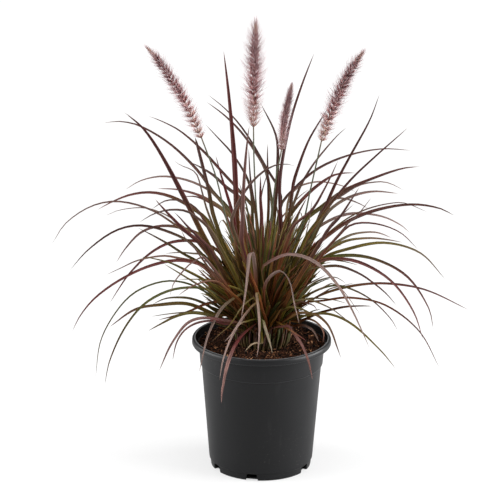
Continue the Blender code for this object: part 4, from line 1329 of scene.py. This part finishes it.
def plume_materials():
    """The plume's axis, its spikelets and its bristles."""
    axis = Finish("plume_axis", 0.5, 0.4)
    speck = axis.grain(900.0, 2.0)
    axis.colour(axis.mix(speck, (0.26, 0.17, 0.11), (0.42, 0.31, 0.20)))

    spikelet = Finish("plume_spikelet", 0.55, 0.2)
    share, height, chance = spikelet.value("share"), spikelet.value("height"), spikelet.value("chance")
    plum = spikelet.mix(spikelet.step(chance, 0.2, 0.6), (0.110, 0.014, 0.018), (0.400, 0.115, 0.120))
    plum = spikelet.mix(spikelet.step(chance, 0.60, 0.66), plum, (0.880, 0.540, 0.520))
    lower = spikelet.mix(spikelet.step(chance, 0.2, 0.7), (0.340, 0.170, 0.140), (0.850, 0.670, 0.580))
    body = spikelet.mix(spikelet.step(height, 0.05, 0.50), lower, plum)
    body = spikelet.mix(spikelet.step(height, 0.86, 1.0), body, (0.520, 0.290, 0.190))
    body = spikelet.mix(spikelet.step(share, 0.0, 0.35, 0.45, 0.0), body, (0.45, 0.31, 0.25))
    speck = spikelet.grain(1500.0, 2.0)
    spikelet.colour(body, spikelet.step(speck, 0.3, 0.7, 0.75, 1.2),
                    spikelet.step(height, 0.2, 0.7, 1.02, 0.62))

    bristle = Finish("plume_bristle", 0.55, 0.2)
    share, height, chance = bristle.value("share"), bristle.value("height"), bristle.value("chance")
    low = bristle.mix(bristle.step(chance, 0.25, 0.75), (0.140, 0.020, 0.026), (0.600, 0.270, 0.250))
    low = bristle.mix(bristle.step(height, 0.84, 1.0), low, (0.560, 0.350, 0.260))
    low = bristle.mix(bristle.step(height, 0.0, 0.35, 0.5, 0.0), low, (0.52, 0.36, 0.27))
    body = bristle.mix(bristle.step(share, 0.30, 0.75), low, (0.540, 0.390, 0.410))
    speck = bristle.grain(700.0, 1.0)
    bristle.colour(body, bristle.step(speck, 0.2, 0.8, 0.85, 1.1),
                   bristle.step(height, 0.3, 0.8, 1.0, 0.72))
    return [axis.material, spikelet.material, bristle.material]


def pot_material():
    """Satin charcoal plastic with a moulded grain, faint scuffs, a little dust and painted highlight lines
    along the lip and the band.
    """
    pot = Finish("pot_plastic", 0.38, 0.28)
    cloud = pot.grain(9.0, 4.0)
    fine = pot.grain(900.0, 2.0)
    streak = pot.grain(1.0, 4.0, None, (60.0, 60.0, 9.0))
    speck = pot.grain(420.0, 1.0)
    base = pot.mix(cloud, (0.0085, 0.0087, 0.0095), (0.0120, 0.0122, 0.0132))
    dust = pot.maths("MULTIPLY", pot.step(speck, 0.66, 0.76), pot.step(cloud, 0.45, 0.65, 0.05, 0.4))
    base = pot.mix(dust, base, (0.085, 0.078, 0.070))
    place = pot.node("ShaderNodeTexCoord", {}, output=3)
    height = pot.node("ShaderNodeSeparateXYZ", {0: place}, output=2)
    # Painted highlights: thin lighter lines at the lip's top edge, along its lower bead and at the band's
    # lower step
    for level, reach, share in ((POT_HEIGHT, 0.45 * MM, 0.9), (LIP_FOOT + 1.2 * MM, 1.1 * MM, 0.14),
                                (BAND_FOOT + 0.8 * MM, 0.8 * MM, 0.36)):
        away = pot.maths("ABSOLUTE", pot.maths("SUBTRACT", height, level))
        base = pot.mix(pot.step(away, reach * 0.4, reach, share, 0.0), base, (0.110, 0.112, 0.115))
    scuff = pot.step(streak, 0.62, 0.78, 0.0, 0.22)
    pot.colour(pot.mix(scuff, base, (0.040, 0.040, 0.041)))
    pot.rough(pot.maths("ADD", pot.step(cloud, 0.3, 0.7, 0.34, 0.44), pot.maths("MULTIPLY", scuff, 0.3)))
    pot.bump(fine, 0.05 * MM, 0.35)
    return pot.material


def pot_inside_shade_material():
    """The plastic inside the rim, painted nearly black as shade, with a faint mottle."""
    inside = Finish("pot_inside", 0.8, 0.1)
    mottle = inside.grain(160.0, 4.0)
    inside.colour(inside.mix(inside.step(mottle, 0.4, 0.7), (0.004, 0.004, 0.004), (0.012, 0.009, 0.007)))
    inside.bump(mottle, 0.2 * MM, 0.5)
    return inside.material


def soil_material():
    soil = Finish("potting_mix", 0.95, 0.05)
    coarse = soil.grain(260.0, 4.0)
    fine = soil.grain(1400.0, 3.0)
    # The near-black patches are painted shade between the grains; the orange-brown flecks are partly
    # lighter grains and partly painted highlights
    body = soil.mix(soil.step(coarse, 0.35, 0.65), (0.002, 0.0015, 0.001), (0.034, 0.014, 0.008))
    body = soil.mix(soil.step(fine, 0.58, 0.72, 0.0, 0.7), body, (0.170, 0.068, 0.034))
    soil.colour(body)
    soil.bump(fine, 0.6 * MM, 0.9)
    return soil.material


def bark_material():
    bark = Finish("bark", 0.9, 0.08)
    chance = bark.value("chance")
    fibre = bark.grain(1.0, 3.0, None, (700.0, 300.0, 1300.0))
    dark = bark.mix(bark.step(chance, 0.30, 0.85), (0.003, 0.002, 0.0015), (0.095, 0.036, 0.017))
    # The few bright orange chips are partly lighter bark and partly painted highlights
    body = bark.mix(bark.step(chance, 0.86, 0.97), dark, (0.360, 0.180, 0.090))
    bark.colour(body, bark.step(fibre, 0.3, 0.7, 0.6, 1.35))
    bark.bump(fibre, 0.3 * MM, 0.8)
    return bark.material


def build_camera():
    right, above, forward = view_axes()
    data = bpy.data.cameras.new("camera")
    data.sensor_width = SENSOR_WIDTH
    data.lens = VIEW_FOCAL * SENSOR_WIDTH / PICTURE_SIZE
    camera = bpy.data.objects.new("camera", data)
    turn = Matrix((right, above, -forward)).transposed().to_4x4()
    camera.matrix_world = Matrix.Translation(VIEW_TARGET - forward * VIEW_DISTANCE) @ turn
    bpy.context.scene.collection.objects.link(camera)
    bpy.context.scene.camera = camera


def area_light(name, place, target, width, height, power):
    data = bpy.data.lights.new(name, "AREA")
    data.shape = "RECTANGLE"
    data.size = width
    data.size_y = height
    data.energy = power
    light = bpy.data.objects.new(name, data)
    light.location = place
    light.rotation_euler = (Vector(target) - Vector(place)).to_track_quat("-Z", "Y").to_euler()
    bpy.context.scene.collection.objects.link(light)


def build_floor():
    """A plain white floor. Its glow is for the camera, so that it stays evenly white under soft lights."""
    floor = Finish("studio_floor", 0.9, 0.0)
    floor.colour((FLOOR_TONE, FLOOR_TONE, FLOOR_TONE, 1.0))
    place = floor.node("ShaderNodeTexCoord", {}, output=3)
    away = floor.node("ShaderNodeVectorMath", {0: place}, output=1, operation="LENGTH")
    glow = floor.step(away, 0.4, 3.0, FLOOR_GLOW_NEAR, FLOOR_GLOW_FAR)
    seen = floor.node("ShaderNodeLightPath", {})
    strength = floor.step(seen, 0.0, 1.0, FLOOR_GLOW_UNSEEN, 1.0)
    floor.surface.inputs["Emission Color"].default_value = WHITE
    floor.wire(floor.surface.inputs["Emission Strength"], floor.maths("MULTIPLY", glow, strength))
    mesh = bpy.data.meshes.new("studio_floor")
    square = ((-1, -1), (1, -1), (1, 1), (-1, 1))
    corners = [(x * FLOOR_REACH, y * FLOOR_REACH, FLOOR_LEVEL) for x, y in square]
    mesh.from_pydata(corners, [], [(0, 1, 2, 3)])
    mesh.materials.append(floor.material)
    piece = bpy.data.objects.new("studio_floor", mesh)
    bpy.context.scene.collection.objects.link(piece)


def build_studio():
    """Even surroundings, white to the camera, and soft lights from both sides and above."""
    build_floor()
    world = bpy.data.worlds.new("studio")
    world.use_nodes = True
    tree = world.node_tree
    seen = tree.nodes.new("ShaderNodeLightPath")
    strength = tree.nodes.new("ShaderNodeMapRange")
    strength.inputs["To Min"].default_value = SKY_LIGHT
    strength.inputs["To Max"].default_value = 1.0
    tree.links.new(seen.outputs["Is Camera Ray"], strength.inputs["Value"])
    sky = tree.nodes["Background"]
    sky.inputs["Color"].default_value = WHITE
    tree.links.new(strength.outputs["Result"], sky.inputs["Strength"])
    bpy.context.scene.world = world
    bpy.context.scene.view_settings.view_transform = "Standard"
    for light in SOFT_LIGHTS:
        area_light(*light)


def main():
    build_camera()
    build_studio()
    leaf = leaf_material()
    build_pot([pot_material(), pot_inside_shade_material()])
    build_soil(soil_material())
    bark = bark_material()
    for name, (count, smallest, largest, seed) in BARK.items():
        build_bits(name, count, smallest, largest, seed, bark)
    build_crown(sheath_material())
    build_leaves(leaf)
    build_small_leaves(leaf)
    build_thicket(leaf)
    stem = stem_material()
    plume = plume_materials()
    for k, (side, (stem_path, plume_path, radius, inner)) in enumerate(flower_paths().items()):
        build_stem(f"flower_stem_{side}", stem_path, stem)
        build_plume(f"plume_{side}", plume_path, radius, inner, plume, PLUME_SEED + k)


main()
